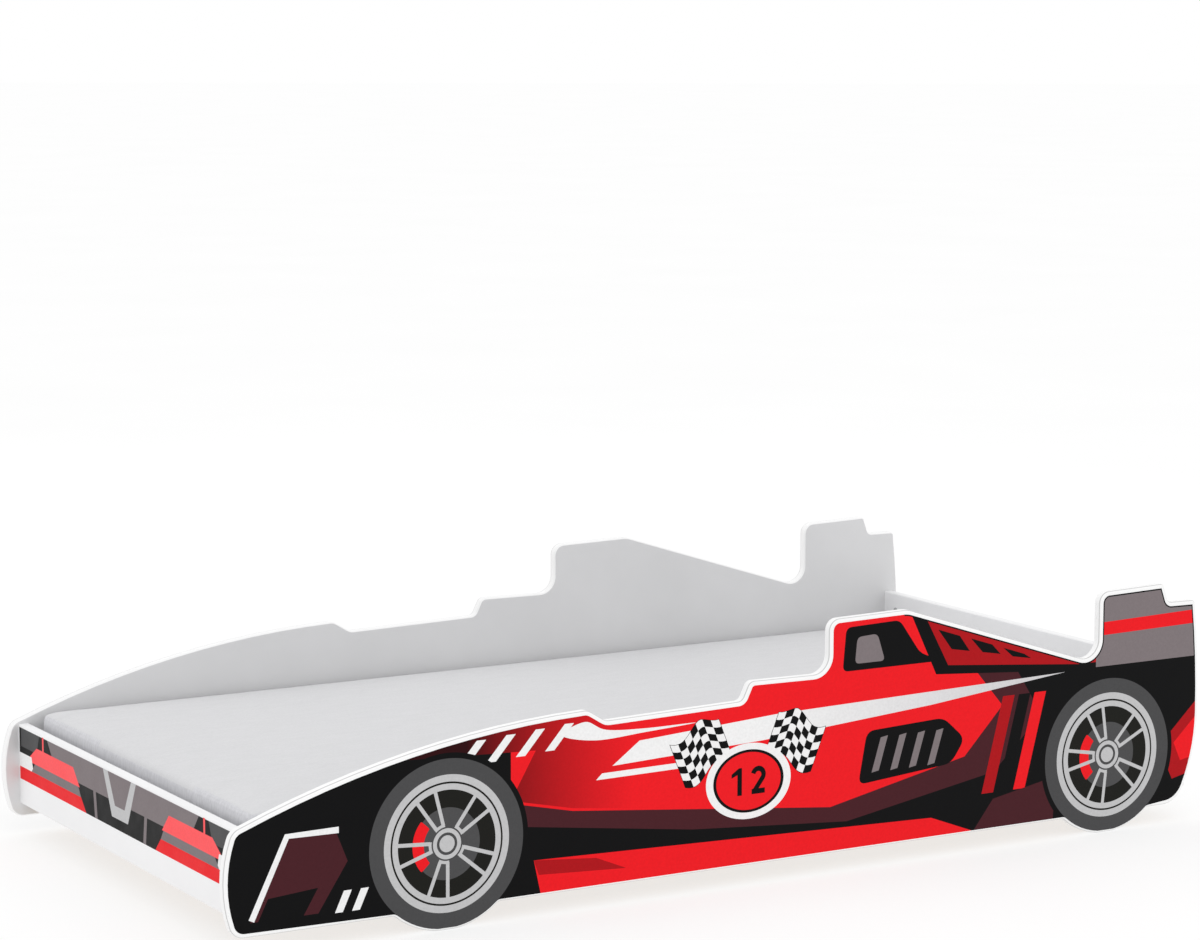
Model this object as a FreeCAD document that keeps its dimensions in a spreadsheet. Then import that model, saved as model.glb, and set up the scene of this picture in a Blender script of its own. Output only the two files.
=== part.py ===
import FreeCAD, Part
import math
import os
import Sketcher

# A children's race-car bed: two side boards cut to a car's outline, a nose board and a
# tail board between them, a slatted base on two ledges, and a foam mattress in a zipped
# cover.
# Millimetres. +Z is up, the nose points to -X, and the origin is on the floor under the
# middle of the bed.

doc = FreeCAD.newDocument("race_car_bed")

# ---------------------------------------------------------------- driving dimensions

DIMENSIONS = [
    # mattress
    ("mattress_length", 1600), ("mattress_width", 800), ("mattress_height", 100),
    ("mattress_edge_radius", 12), ("mattress_corner_radius", 26),
    ("crown_rise", 3), ("side_draw", 3), ("cover_cloth", 3), ("cloth_gap", 0.2),
    # room round the mattress
    ("nose_gap", 11), ("tail_gap", 1), ("side_gap", 4), ("rest_gap", 0.3),
    # boards
    ("board", 16), ("edge_bevel", 2.5), ("panel_base", 51), ("nose_panel_height", 125),
    ("tail_panel_height", 196), ("panel_edge_bevel", 1.5),
    # the sides reach past the boards between them
    ("nose_reach", 24.5), ("tail_reach", 12),
    # wheels, which are part of the side boards' outline
    ("front_wheel_setback", 314.3), ("rear_wheel_setback", 168.9),
    ("wheel_radius", 124), ("wheel_flat", 30), ("sill_height", 30), ("sill_round", 8),
    # nose of the outline
    ("nose_radius", 190), ("nose_middle_height", 104), ("fender_radius", 1600),
    ("nose_top_height", 177.4), ("nose_round", 22),
    # fender to cockpit: the fender's end is measured back from the front wheel, and each
    # stretch from the one before
    ("fender_end", 226.8), ("fender_height", 288.1), ("dip_run", 29.8), ("dip_drop", 18.3),
    ("door_length", 230.2), ("door_rise", 5.2), ("step_run", 13.6), ("step_rise", 28.1),
    ("step_length", 138.1), ("step_fall", 1.7), ("cockpit_rise", 80.4),
    ("cockpit_length", 140.5), ("cockpit_slope_rise", 2.8),
    # engine cover and rear wing: the wing's front is measured ahead of the rear wheel
    ("wing_start", 18.9), ("slope_end_height", 268.5), ("wing_rise", 111.5),
    ("wing_length", 124.4), ("wing_slope_rise", 3.3), ("notch_run", 11), ("notch_drop", 30.3),
    ("wing_back_fall", 0.8), ("wing_back_lean", 10.9), ("tail_middle_height", 174),
    ("tail_radius", 285), ("tail_round", 45),
    # corner radii of the outline
    ("fender_corner", 20), ("soft_corner", 12), ("foot_corner", 28), ("wing_corner", 18),
    ("cockpit_corner", 45), ("notch_corner", 9), ("small_corner", 6),
    # slatted base
    ("ledge_width", 27), ("ledge_height", 27), ("ledge_base", 48), ("ledge_end_gap", 4),
    ("ledge_bevel", 1.5), ("slat_width", 70), ("slat_thickness", 20), ("slat_end_gap", 2),
    ("slat_margin", 30), ("slat_bevel", 2), ("slat_count", 13),
    ("webbing_width", 25), ("webbing_thickness", 1), ("webbing_inset", 90),
    ("staple_width", 10), ("staple_wire", 1.2), ("staple_leg", 9), ("staple_slack", 0.1),
    # screws
    ("screw_shank", 4), ("screw_slack", 0.1), ("screw_head", 8), ("screw_bite", 10),
    ("slat_screw_bite", 15), ("ledge_screw_count", 6), ("ledge_screw_margin", 90),
    ("screw_tip", 2), ("screw_taper", 4),
    # knock-down fittings
    ("pin_flats", 8), ("cam_flats", 16), ("hole_overrun", 1),
    ("cam_diameter", 15), ("cam_depth", 12.5), ("cam_inset", 34),
    ("cam_from_edge", 32), ("bolt_bore", 8), ("bolt_shank", 6), ("bolt_thread", 5),
    ("bolt_bite", 11), ("bolt_head", 7), ("bolt_head_length", 3), ("bolt_waist", 3),
    ("bolt_shoulder", 0.6), ("key_slot", 1.4), ("key_slot_depth", 1.2),
    ("key_slot_length", 6), ("dowel_diameter", 8), ("dowel_bite", 11), ("dowel_reach", 22),
    ("dowel_bevel", 1), ("fitting_slack", 0.1),
    # zip
    ("zip_margin", 40), ("zip_tape_height", 24), ("zip_tape_thickness", 0.6),
    ("zip_teeth_height", 5), ("zip_teeth_thickness", 1.4), ("zip_end", 4),
    ("slider_length", 11), ("slider_wall", 1.2), ("slider_gap", 0.3),
    ("bridge_length", 7), ("bridge_width", 2), ("bridge_bar", 1.2),
    ("tab_length", 24), ("tab_width", 7), ("tab_neck", 4.4), ("tab_thickness", 1.2),
    ("tab_rim", 1.4), ("tab_gap", 0.3), ("tab_round", 2.3),
]

sheet = doc.addObject("Spreadsheet::Sheet", "dims")
for row, (alias, size) in enumerate(DIMENSIONS, start=1):
    sheet.set("A%d" % row, alias)
    sheet.set("B%d" % row, str(size))
    sheet.setAlias("B%d" % row, alias)
doc.recompute()


def mm(expression):
    """The present value of an expression on the sheet, in millimetres."""
    return float(sheet.evalExpression(str(expression)))


# ---------------------------------------------------------------- places, as expressions

INSIDE_LENGTH = "(dims.mattress_length + dims.nose_gap + dims.tail_gap)"
INSIDE_WIDTH = "(dims.mattress_width + 2 * dims.side_gap)"
LENGTH = "(%s + 2 * dims.board + dims.nose_reach + dims.tail_reach)" % INSIDE_LENGTH
NOSE_BOARD = "(-%s / 2 + dims.nose_reach)" % LENGTH
NOSE_INSIDE = "(%s + dims.board)" % NOSE_BOARD
TAIL_INSIDE = "(%s + %s)" % (NOSE_INSIDE, INSIDE_LENGTH)
TAIL_BOARD = "(%s + dims.board)" % TAIL_INSIDE
FRONT_WHEEL = "(%s + dims.front_wheel_setback)" % NOSE_BOARD
REAR_WHEEL = "(%s - dims.rear_wheel_setback)" % TAIL_BOARD
LEDGE_TOP = "(dims.ledge_base + dims.ledge_height)"
SLAT_TOP = "(%s + dims.slat_thickness)" % LEDGE_TOP
MATTRESS_NOSE = "(%s + dims.nose_gap)" % NOSE_INSIDE
MATTRESS_TAIL = "(%s + dims.mattress_length)" % MATTRESS_NOSE
MATTRESS_BASE = "(%s + dims.rest_gap)" % SLAT_TOP
ZIP_HEIGHT = "(%s + dims.mattress_height / 2)" % MATTRESS_BASE
SLAT_LENGTH = "(%s - 2 * dims.slat_end_gap)" % INSIDE_WIDTH
LEDGE_MIDDLE = "(dims.ledge_base + dims.ledge_height / 2)"

SIDES = (("near", -1), ("far", 1))
ENDS = (("nose", "dims.nose_panel_height"), ("tail", "dims.tail_panel_height"))


def slat_x(index):
    """Middle of slat number index, counted from 0 at the nose."""
    first = "(%s + dims.slat_margin + dims.slat_width / 2)" % NOSE_INSIDE
    run = "(%s - 2 * dims.slat_margin - dims.slat_width)" % INSIDE_LENGTH
    return "(%s + %s * %d / (dims.slat_count - 1))" % (first, run, index)


def ledge_screw_x(index):
    """Middle of ledge screw number index, counted from 0 at the nose."""
    run = "(%s - 2 * dims.ledge_screw_margin)" % INSIDE_LENGTH
    return "(%s + dims.ledge_screw_margin + %s * %d / (dims.ledge_screw_count - 1))" % (
        NOSE_INSIDE, run, index)


def board_middle(end):
    """Middle of an end board's thickness."""
    if end == "nose":
        return "(%s - dims.board / 2)" % NOSE_INSIDE
    return "(%s + dims.board / 2)" % TAIL_INSIDE


def cam_heights(panel_height):
    """Heights of a board's two cams and of the dowel midway between them."""
    low = "(dims.panel_base + dims.cam_from_edge)"
    high = "(dims.panel_base + %s - dims.cam_from_edge)" % panel_height
    middle = "(dims.panel_base + %s / 2)" % panel_height
    return low, high, middle


# ---------------------------------------------------------------- small helpers

def new_body(label):
    body = doc.addObject("PartDesign::Body", label)
    body.Label = label
    return body


def new_sketch(body, plane, name):
    """A sketch on one of the body's own origin planes."""
    sketch = body.newObject("Sketcher::SketchObject", name)
    origin_plane = [f for f in body.Origin.OriginFeatures if f.Role == plane][0]
    sketch.AttachmentSupport = [(origin_plane, "")]
    sketch.MapMode = "FlatFace"
    return sketch


def bind(sketch, kind, geometry, point, expression):
    """Ties a point's coordinate in the sketch to an expression on the sheet."""
    number = sketch.addConstraint(
        Sketcher.Constraint(kind, -1, 1, geometry, point, mm(expression)))
    sketch.setExpression("Constraints[%d]" % number, expression)


def bind_radius(sketch, geometry, expression):
    number = sketch.addConstraint(Sketcher.Constraint("Radius", geometry, mm(expression)))
    sketch.setExpression("Constraints[%d]" % number, expression)


def box_corners(low_x, high_x, low_y, high_y):
    return [(low_x, low_y), (high_x, low_y), (high_x, high_y), (low_x, high_y)]


def outline_sketch(body, plane, name, corners, arcs=None):
    """A closed outline. arcs maps the number of a corner to the radius of the arc that
    leaves it and to the side of the chord on which the arc bulges (1 is left)."""
    sketch = new_sketch(body, plane, name)
    arcs = arcs or {}
    spots = [FreeCAD.Vector(mm(x), mm(y), 0) for x, y in corners]
    count = len(spots)
    for i, start in enumerate(spots):
        end = spots[(i + 1) % count]
        if i in arcs:
            radius, side = arcs[i]
            sketch.addGeometry(shallow_arc(start, end, mm(radius), side), False)
        else:
            sketch.addGeometry(Part.LineSegment(start, end), False)
    # an arc runs anticlockwise, so one that bulges right of its chord starts at its end
    first = [1 if i not in arcs or arcs[i][1] < 0 else 2 for i in range(count)]
    for i in range(count):
        after = (i + 1) % count
        sketch.addConstraint(Sketcher.Constraint(
            "Coincident", i, 3 - first[i], after, first[after]))
    for i, (x, y) in enumerate(corners):
        bind(sketch, "DistanceX", i, first[i], x)
        bind(sketch, "DistanceY", i, first[i], y)
    for i in arcs:
        bind_radius(sketch, i, arcs[i][0])
    return sketch


def shallow_arc(start, end, radius, side):
    """The minor arc from start to end that bulges to one side of its chord (1 is left)."""
    chord = end - start
    left = FreeCAD.Vector(-chord.y, chord.x, 0).normalize()
    reach = math.sqrt(radius ** 2 - (chord.Length / 2) ** 2)
    centre = (start + end) * 0.5 - left * side * reach
    first, last = (end, start) if side > 0 else (start, end)
    begin = math.atan2(first.y - centre.y, first.x - centre.x)
    finish = math.atan2(last.y - centre.y, last.x - centre.x)
    if finish < begin:
        finish += 2 * math.pi
    circle = Part.Circle(centre, FreeCAD.Vector(0, 0, 1), radius)
    return Part.ArcOfCircle(circle, begin, finish)


def circles_sketch(body, plane, name, circles):
    sketch = new_sketch(body, plane, name)
    for i, (x, y, radius) in enumerate(circles):
        centre = FreeCAD.Vector(mm(x), mm(y), 0)
        sketch.addGeometry(Part.Circle(centre, FreeCAD.Vector(0, 0, 1), mm(radius)), False)
        bind(sketch, "DistanceX", i, 3, x)
        bind(sketch, "DistanceY", i, 3, y)
        bind_radius(sketch, i, radius)
    return sketch


def pad(body, sketch, length, reverse=False):
    feature = body.newObject("PartDesign::Pad", "Pad")
    feature.Profile = sketch
    feature.setExpression("Length", length)
    feature.Reversed = reverse
    doc.recompute()
    return feature


def pocket(body, sketch, depth, reverse=False):
    """Cuts a sketch into the body, and makes sure that it removes material."""
    before = body.Shape.Volume
    feature = body.newObject("PartDesign::Pocket", "Pocket")
    feature.Profile = sketch
    feature.setExpression("Length", depth)
    feature.Reversed = reverse
    doc.recompute()
    if body.Shape.Volume > before - 1:
        raise RuntimeError("%s: %s cuts nothing" % (body.Label, sketch.Label))
    return feature


def fillet(body, edges, radius):
    base = body.Tip
    feature = body.newObject("PartDesign::Fillet", "Fillet")
    feature.Base = (base, edges)
    feature.setExpression("Radius", radius)
    doc.recompute()
    if not feature.isValid():
        raise RuntimeError("%s: the fillet fails at radius %s" % (body.Label, radius))


def bevel(body, edges, size):
    base = body.Tip
    feature = body.newObject("PartDesign::Chamfer", "EdgeBevel")
    feature.Base = (base, edges)
    feature.setExpression("Size", size)
    doc.recompute()
    if not feature.isValid():
        raise RuntimeError("%s: the bevel fails at size %s" % (body.Label, size))


def edges_at(shape, axis, spots):
    """Names of the straight edges along an axis that pass through the given spots,
    which leave out that axis."""
    found = []
    for number, edge in enumerate(shape.Edges, start=1):
        a, b = edge.Vertexes[0].Point, edge.Vertexes[-1].Point
        kept = [i for i in range(3) if i != axis]
        if any(abs(a[i] - b[i]) > 0.001 for i in kept):
            continue
        if any(all(abs(a[i] - spot[k]) < 0.01 for k, i in enumerate(kept)) for spot in spots):
            found.append("Edge%d" % number)
    if len(found) != len(spots):
        raise RuntimeError("%d edges for %d corners" % (len(found), len(spots)))
    return found


def rim_edges(shape, axis, places):
    """Names of the outer edges of the flat faces that lie square to an axis at places."""
    names = []
    for face in shape.Faces:
        box = face.BoundBox
        low = (box.XMin, box.YMin, box.ZMin)[axis]
        high = (box.XMax, box.YMax, box.ZMax)[axis]
        if high - low > 0.001 or not any(abs(low - place) < 0.01 for place in places):
            continue
        for edge in face.OuterWire.Edges:
            for number, other in enumerate(shape.Edges, start=1):
                if other.isSame(edge):
                    names.append("Edge%d" % number)
    return names


PIECES = {}


def finish_piece(label, feature):
    """Names a finished piece and keeps it for writing."""
    feature.Label = label
    PIECES[label] = feature


def copies(label, pattern, places):
    """Linked copies of a pattern. A place is the expressions of its x, y and z, and a
    rotation."""
    links = []
    for x, y, z, turn in places:
        link = doc.addObject("App::Link", label + "_copy")
        link.LinkedObject = pattern
        link.Placement = FreeCAD.Placement(FreeCAD.Vector(), turn)
        for axis, expression in zip("xyz", (x, y, z)):
            link.setExpression("Placement.Base." + axis, expression)
        links.append(link)
    return links


def group(label, pattern, places):
    """A node of equal pieces."""
    compound = doc.addObject("Part::Compound", label)
    compound.Links = copies(label, pattern, places)
    doc.recompute()
    finish_piece(label, compound)


def drill(label, blank, cutters):
    """What is left of a blank once cutters, as pairs of a pattern and its places, have
    made the holes for its fittings."""
    tools = [link for pattern, places in cutters for link in copies(label, pattern, places)]
    fused = doc.addObject("Part::MultiFuse", label + "_holes")
    fused.Shapes = tools
    left = doc.addObject("Part::Cut", label)
    left.Base, left.Tool = blank, fused
    doc.recompute()
    if left.Shape.Volume > blank.Shape.Volume - len(tools):
        raise RuntimeError("%s: the holes cut too little" % label)
    finish_piece(label, left)


def faceted(label, sections, flats="dims.pin_flats"):
    """A pin or a cutter along its own X axis, with flats all round, through sections
    given as x and radius."""
    rings = []
    for x, radius in sections:
        ring = doc.addObject("Part::RegularPolygon", label + "_ring")
        ring.Placement = FreeCAD.Placement(
            FreeCAD.Vector(), FreeCAD.Rotation(FreeCAD.Vector(0, 1, 0), 90))
        ring.setExpression("Polygon", flats)
        ring.setExpression("Circumradius", radius)
        ring.setExpression("Placement.Base.x", x)
        rings.append(ring)
    loft = doc.addObject("Part::Loft", label)
    loft.Sections = rings
    loft.Solid = True
    loft.Ruled = True
    doc.recompute()
    return loft


def solid_feature(label, shape):
    """A piece whose shape is worked out here from the sheet's values."""
    feature = doc.addObject("Part::Feature", label)
    feature.Shape = shape
    feature.Placement = FreeCAD.Placement()
    finish_piece(label, feature)


# ---------------------------------------------------------------- fixings and their holes

def about_z(angle):
    return FreeCAD.Rotation(FreeCAD.Vector(0, 0, 1), angle)


def end_slats():
    """The two slats that are screwed down, by name and number."""
    return (("first", 0), ("last", int(mm("dims.slat_count")) - 1))


POINT_DOWN = FreeCAD.Rotation(FreeCAD.Vector(0, 1, 0), 90)
SLAT_SCREW_Y = "(%s / 2 - dims.ledge_width / 2)" % INSIDE_WIDTH
WEBBING_Y = "(%s / 2 - dims.webbing_inset)" % INSIDE_WIDTH

# where each fitting sits: the names of its side and end, and its place
BOLTS, DOWELS, CAMS = [], [], []
for end_name, panel_height in ENDS:
    low, high, middle = cam_heights(panel_height)
    inward = 1 if end_name == "nose" else -1
    inside_face = NOSE_INSIDE if end_name == "nose" else TAIL_INSIDE
    for side_name, side_sign in SIDES:
        where = (end_name, side_name)
        board_face = "%d * %s / 2" % (side_sign, INSIDE_WIDTH)
        cam_y = "%d * (%s / 2 - dims.cam_inset)" % (side_sign, INSIDE_WIDTH)
        into_panel = about_z(-90 * side_sign)
        DOWELS.append((where, (board_middle(end_name), board_face, middle, into_panel)))
        for height in (low, high):
            BOLTS.append((where, (board_middle(end_name), board_face, height, into_panel)))
            # a disc's hollow opens to its own -y, which has to face the side board
            flip = FreeCAD.Rotation(FreeCAD.Vector(1, 0, 0), 180 if side_sign * inward > 0 else 0)
            CAMS.append((where, ("%s - %d * dims.cam_depth" % (inside_face, inward), cam_y,
                                 height, about_z(90 - 90 * inward).multiply(flip))))
LEDGE_SCREWS = [
    ((side_name,), (ledge_screw_x(i), "%d * (%s / 2 - dims.ledge_width)" % (
        side_sign, INSIDE_WIDTH), LEDGE_MIDDLE, about_z(90 * side_sign)))
    for side_name, side_sign in SIDES for i in range(int(mm("dims.ledge_screw_count")))]
SLAT_SCREWS = [
    ((side_name, slat_name), (slat_x(i), "%d * %s" % (side_sign, SLAT_SCREW_Y), SLAT_TOP,
                              POINT_DOWN))
    for side_name, side_sign in SIDES for slat_name, i in end_slats()]


def at(fittings, name):
    """Places of the fittings at the side, end or slat of that name."""
    return [place for where, place in fittings if name in where]


def screw(label, length):
    """A countersunk screw and the cutter for its hole: its head's top is at x = 0 and its
    point at +x."""
    head, shank = "(dims.screw_head / 2)", "(dims.screw_shank / 2)"
    piece = faceted(label, [
        ("0", head), ("(%s - %s)" % (head, shank), shank),
        ("(%s - dims.screw_taper)" % length, shank), (length, "(dims.screw_tip / 2)")])
    mouth = "(%s + dims.screw_slack)" % head
    bore = "(%s + dims.screw_slack / 2)" % shank
    cutter = faceted(label + "_hole", [
        ("-dims.hole_overrun", "(%s + dims.hole_overrun)" % mouth),
        ("(%s - %s)" % (mouth, bore), bore), ("(%s + dims.screw_slack)" % length, bore)])
    return piece, cutter


def cam_bolt():
    """The bolt that a cam draws tight: thread at -x, head at +x, its own origin where it
    leaves the side board."""
    thread = "(dims.bolt_thread / 2 - dims.fitting_slack / 2)"
    shank, waist = "(dims.bolt_shank / 2)", "(dims.bolt_waist / 2)"
    head_start = "(dims.cam_inset - dims.bolt_head_length)"
    neck = "(dims.cam_inset - 2 * dims.bolt_head_length)"
    return faceted("cam_bolt", [
        ("(-dims.bolt_bite)", thread), ("0", thread), ("dims.bolt_shoulder", shank),
        (neck, shank), ("(%s + dims.bolt_shoulder)" % neck, waist), (head_start, waist),
        ("(%s + dims.bolt_shoulder)" % head_start, "(dims.bolt_head / 2)"),
        ("dims.cam_inset", "(dims.bolt_head / 2)")])


def cam_disc():
    """The disc that turns in its bore and holds the bolt's head in its hollow. Its own
    origin is at its closed end and its slotted face is at +x."""
    radius = "(dims.cam_diameter / 2 - dims.fitting_slack)"
    height = "(dims.cam_depth - dims.fitting_slack)"
    disc = faceted("cam_disc_blank", [("0", radius), (height, radius)], "dims.cam_flats")
    hollow = "(dims.bolt_head / 2 + dims.fitting_slack)"
    middle = "(dims.cam_depth - dims.board / 2)"
    mouth = block("cam_disc_mouth", ("(%s - %s)" % (middle, hollow), "-dims.cam_diameter",
                                     "-" + hollow),
                  ("(2 * %s)" % hollow, "(dims.cam_diameter + dims.bolt_head_length / 2)",
                   "(2 * %s)" % hollow))
    slot = block("cam_disc_slot", ("(%s - dims.key_slot_depth)" % height,
                                   "-dims.key_slot / 2", "-dims.key_slot_length / 2"),
                 ("dims.cam_depth", "dims.key_slot", "dims.key_slot_length"))
    cuts = doc.addObject("Part::Compound", "cam_disc_cuts")
    cuts.Links = [mouth, slot]
    disc_cut = doc.addObject("Part::Cut", "cam_disc")
    disc_cut.Base, disc_cut.Tool = disc, cuts
    doc.recompute()
    return disc_cut


def block(label, corner, size):
    """A box from its low corner and its size, as expressions."""
    box = doc.addObject("Part::Box", label)
    for axis, expression in zip("xyz", corner):
        box.setExpression("Placement.Base." + axis, expression)
    for side, expression in zip(("Length", "Width", "Height"), size):
        box.setExpression(side, expression)
    return box


def dowel():
    """A beech pin with bevelled ends: its own origin is where it leaves the side board."""
    radius = "(dims.dowel_diameter / 2 - dims.fitting_slack / 2)"
    rim = "(%s - dims.dowel_bevel)" % radius
    low, high = "(-dims.dowel_bite)", "dims.dowel_reach"
    return faceted("dowel", [
        (low, rim), ("(%s + dims.dowel_bevel)" % low, radius),
        ("(%s - dims.dowel_bevel)" % high, radius), (high, rim)])


def staple():
    """A staple: its own origin is the middle of its back, and its legs point up."""
    body = new_body("staple")
    outer, wire = "(dims.staple_width / 2)", "dims.staple_wire"
    inner = "(%s - %s)" % (outer, wire)
    outline = [("-" + outer, "0"), (outer, "0"), (outer, "dims.staple_leg"),
               (inner, "dims.staple_leg"), (inner, wire), ("-" + inner, wire),
               ("-" + inner, "dims.staple_leg"), ("-" + outer, "dims.staple_leg")]
    sketch = outline_sketch(body, "YZ_Plane", "Outline", outline)
    sketch.setExpression("AttachmentOffset.Base.z", "-dims.staple_wire / 2")
    pad(body, sketch, "dims.staple_wire")
    return body


ledge_screw, ledge_screw_hole = screw("ledge_screw", "(dims.ledge_width + dims.screw_bite)")
slat_screw, slat_screw_hole = screw("slat_screw",
                                    "(dims.slat_thickness + dims.slat_screw_bite)")
thread_hole = faceted("thread_hole", [
    ("(-dims.bolt_bite - dims.fitting_slack)", "(dims.bolt_thread / 2)"),
    ("dims.hole_overrun", "(dims.bolt_thread / 2)")])
bolt_bore = faceted("bolt_bore", [
    ("-dims.hole_overrun", "(dims.bolt_bore / 2)"), ("dims.cam_inset", "(dims.bolt_bore / 2)")])
dowel_hole = faceted("dowel_hole", [
    ("(-dims.dowel_bite - dims.fitting_slack)", "(dims.dowel_diameter / 2)"),
    ("(dims.dowel_reach + dims.fitting_slack)", "(dims.dowel_diameter / 2)")])
cam_bore = faceted("cam_bore", [
    ("0", "(dims.cam_diameter / 2)"),
    ("(dims.cam_depth + dims.hole_overrun)", "(dims.cam_diameter / 2)")], "dims.cam_flats")

group("ledge_screws", ledge_screw, [place for where, place in LEDGE_SCREWS])
group("slat_screws", slat_screw, [place for where, place in SLAT_SCREWS])
group("cam_bolts", cam_bolt(), [place for where, place in BOLTS])
group("cam_discs", cam_disc(), [place for where, place in CAMS])
group("dowels", dowel(), [place for where, place in DOWELS])
group("staples", staple(), [
    (slat_x(i), "%d * %s" % (side_sign, WEBBING_Y),
     "%s - dims.webbing_thickness - dims.staple_wire" % LEDGE_TOP, about_z(0))
    for side_name, side_sign in SIDES for i in range(int(mm("dims.slat_count")))])

# ---------------------------------------------------------------- side boards

def side_outline():
    """A side board's corners and arcs, clockwise from the nose's foot as the near side
    shows them, and the corners that are rounded, by the radius that rounds them."""
    nose_centre = "(-%s / 2 + dims.nose_radius)" % LENGTH
    tail_centre = "(%s / 2 - dims.tail_radius)" % LENGTH

    def nose_x(height):
        drop = "(%s - dims.nose_middle_height)" % height
        return "(%s - sqrt(dims.nose_radius ^ 2 - %s ^ 2))" % (nose_centre, drop)

    def chained(start, steps):
        """Running sums from a start, by the aliases of the steps and their signs."""
        sums = [start]
        for sign, alias in steps:
            sums.append("(%s %s dims.%s)" % (sums[-1], sign, alias))
        return sums

    tail_foot = "(%s + sqrt(dims.tail_radius ^ 2 - (dims.tail_middle_height - " \
                "dims.sill_height) ^ 2))" % tail_centre
    fender_x, door_x, door_end_x, step_x, cockpit_x, cockpit_end_x = chained(
        "(%s + dims.fender_end)" % FRONT_WHEEL,
        [("+", "dip_run"), ("+", "door_length"), ("+", "step_run"), ("+", "step_length"),
         ("+", "cockpit_length")])
    door_z, door_end_z, step_z, step_end_z, cockpit_z, cockpit_end_z = chained(
        "(dims.fender_height - dims.dip_drop)",
        [("+", "door_rise"), ("+", "step_rise"), ("-", "step_fall"), ("+", "cockpit_rise"),
         ("+", "cockpit_slope_rise")])
    wing_x, notch_x, notch_foot_x = chained(
        "(%s - dims.wing_start)" % REAR_WHEEL, [("+", "wing_length"), ("+", "notch_run")])
    wing_z, notch_z, notch_foot_z, wing_back_z = chained(
        "(dims.slope_end_height + dims.wing_rise)",
        [("+", "wing_slope_rise"), ("-", "notch_drop"), ("-", "wing_back_fall")])
    corners = [
        ("nose_foot", nose_x("dims.sill_height"), "dims.sill_height"),
        ("nose_top", nose_x("dims.nose_top_height"), "dims.nose_top_height"),
        ("fender_end", fender_x, "dims.fender_height"),
        ("door_start", door_x, door_z),
        ("door_end", door_end_x, door_end_z),
        ("step_start", step_x, step_z),
        ("cockpit_foot", cockpit_x, step_end_z),
        ("cockpit_start", cockpit_x, cockpit_z),
        ("cockpit_end", cockpit_end_x, cockpit_end_z),
        ("wing_foot", wing_x, "dims.slope_end_height"),
        ("wing_front", wing_x, wing_z),
        ("wing_notch", notch_x, notch_z),
        ("notch_foot", notch_foot_x, notch_foot_z),
        ("wing_back", "(%s / 2 - dims.wing_back_lean)" % LENGTH, wing_back_z),
        ("tail_tip", "(%s / 2)" % LENGTH, "dims.tail_middle_height"),
        ("tail_foot", tail_foot, "dims.sill_height"),
    ]
    rise = "(%s - dims.tail_middle_height)" % wing_back_z
    wing_back_radius = "((%s ^ 2 + dims.wing_back_lean ^ 2) / (2 * dims.wing_back_lean))" % rise
    arcs = {0: ("dims.nose_radius", 1), 1: ("dims.fender_radius", 1),
            13: (wing_back_radius, 1), 14: ("dims.tail_radius", 1)}
    hub_height = "sqrt(dims.wheel_radius ^ 2 - (dims.wheel_flat / 2) ^ 2)"
    half_chord = "sqrt(dims.wheel_radius ^ 2 - (%s - dims.sill_height) ^ 2)" % hub_height
    for name, wheel in (("rear", REAR_WHEEL), ("front", FRONT_WHEEL)):
        arcs[len(corners)] = ("dims.wheel_radius", 1)
        arcs[len(corners) + 2] = ("dims.wheel_radius", 1)
        corners += [
            (name + "_sill", "(%s + %s)" % (wheel, half_chord), "dims.sill_height"),
            (name + "_tread", "(%s + dims.wheel_flat / 2)" % wheel, "0"),
            (name + "_tread_end", "(%s - dims.wheel_flat / 2)" % wheel, "0"),
            (name + "_sill_end", "(%s - %s)" % (wheel, half_chord), "dims.sill_height"),
        ]
    rounded = {
        "dims.nose_round": ["nose_foot", "nose_top"],
        "dims.fender_corner": ["fender_end", "door_start"],
        "dims.soft_corner": ["door_end", "step_start"],
        "dims.foot_corner": ["cockpit_foot", "wing_foot"],
        "dims.wing_corner": ["cockpit_start", "wing_front"],
        "dims.cockpit_corner": ["cockpit_end"],
        "dims.notch_corner": ["notch_foot"],
        "dims.small_corner": ["wing_notch", "wing_back"],
        "dims.tail_round": ["tail_foot"],
        "dims.sill_round": ["rear_sill", "rear_sill_end", "front_sill", "front_sill_end",
                            "rear_tread", "rear_tread_end", "front_tread", "front_tread_end"],
    }
    return corners, arcs, rounded


def side_board(name, side):
    """The sketch lies on the board's inside face and the board grows outwards."""
    body = new_body("side_blank_" + name)
    corners, arcs, rounded = side_outline()
    outline = [(x, z) for corner, x, z in corners]
    sketch = outline_sketch(body, "XZ_Plane", "Outline", outline, arcs)
    pad(body, sketch, "dims.board", reverse=side > 0)
    for radius, names in rounded.items():
        spots = [(mm(x), mm(z)) for corner, x, z in corners if corner in names]
        fillet(body, edges_at(body.Shape, 1, spots), radius)
    faces = (0, side * mm("dims.board"))
    bevel(body, rim_edges(body.Shape, 1, faces), "dims.edge_bevel")
    body.setExpression("Placement.Base.y", "%d * %s / 2" % (side, INSIDE_WIDTH))
    drill("side_panel_" + name, body, [
        (thread_hole, at(BOLTS, name)), (dowel_hole, at(DOWELS, name)),
        (ledge_screw_hole, at(LEDGE_SCREWS, name))])


for side_name, side_sign in SIDES:
    side_board(side_name, side_sign)

# ---------------------------------------------------------------- nose and tail boards

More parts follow.
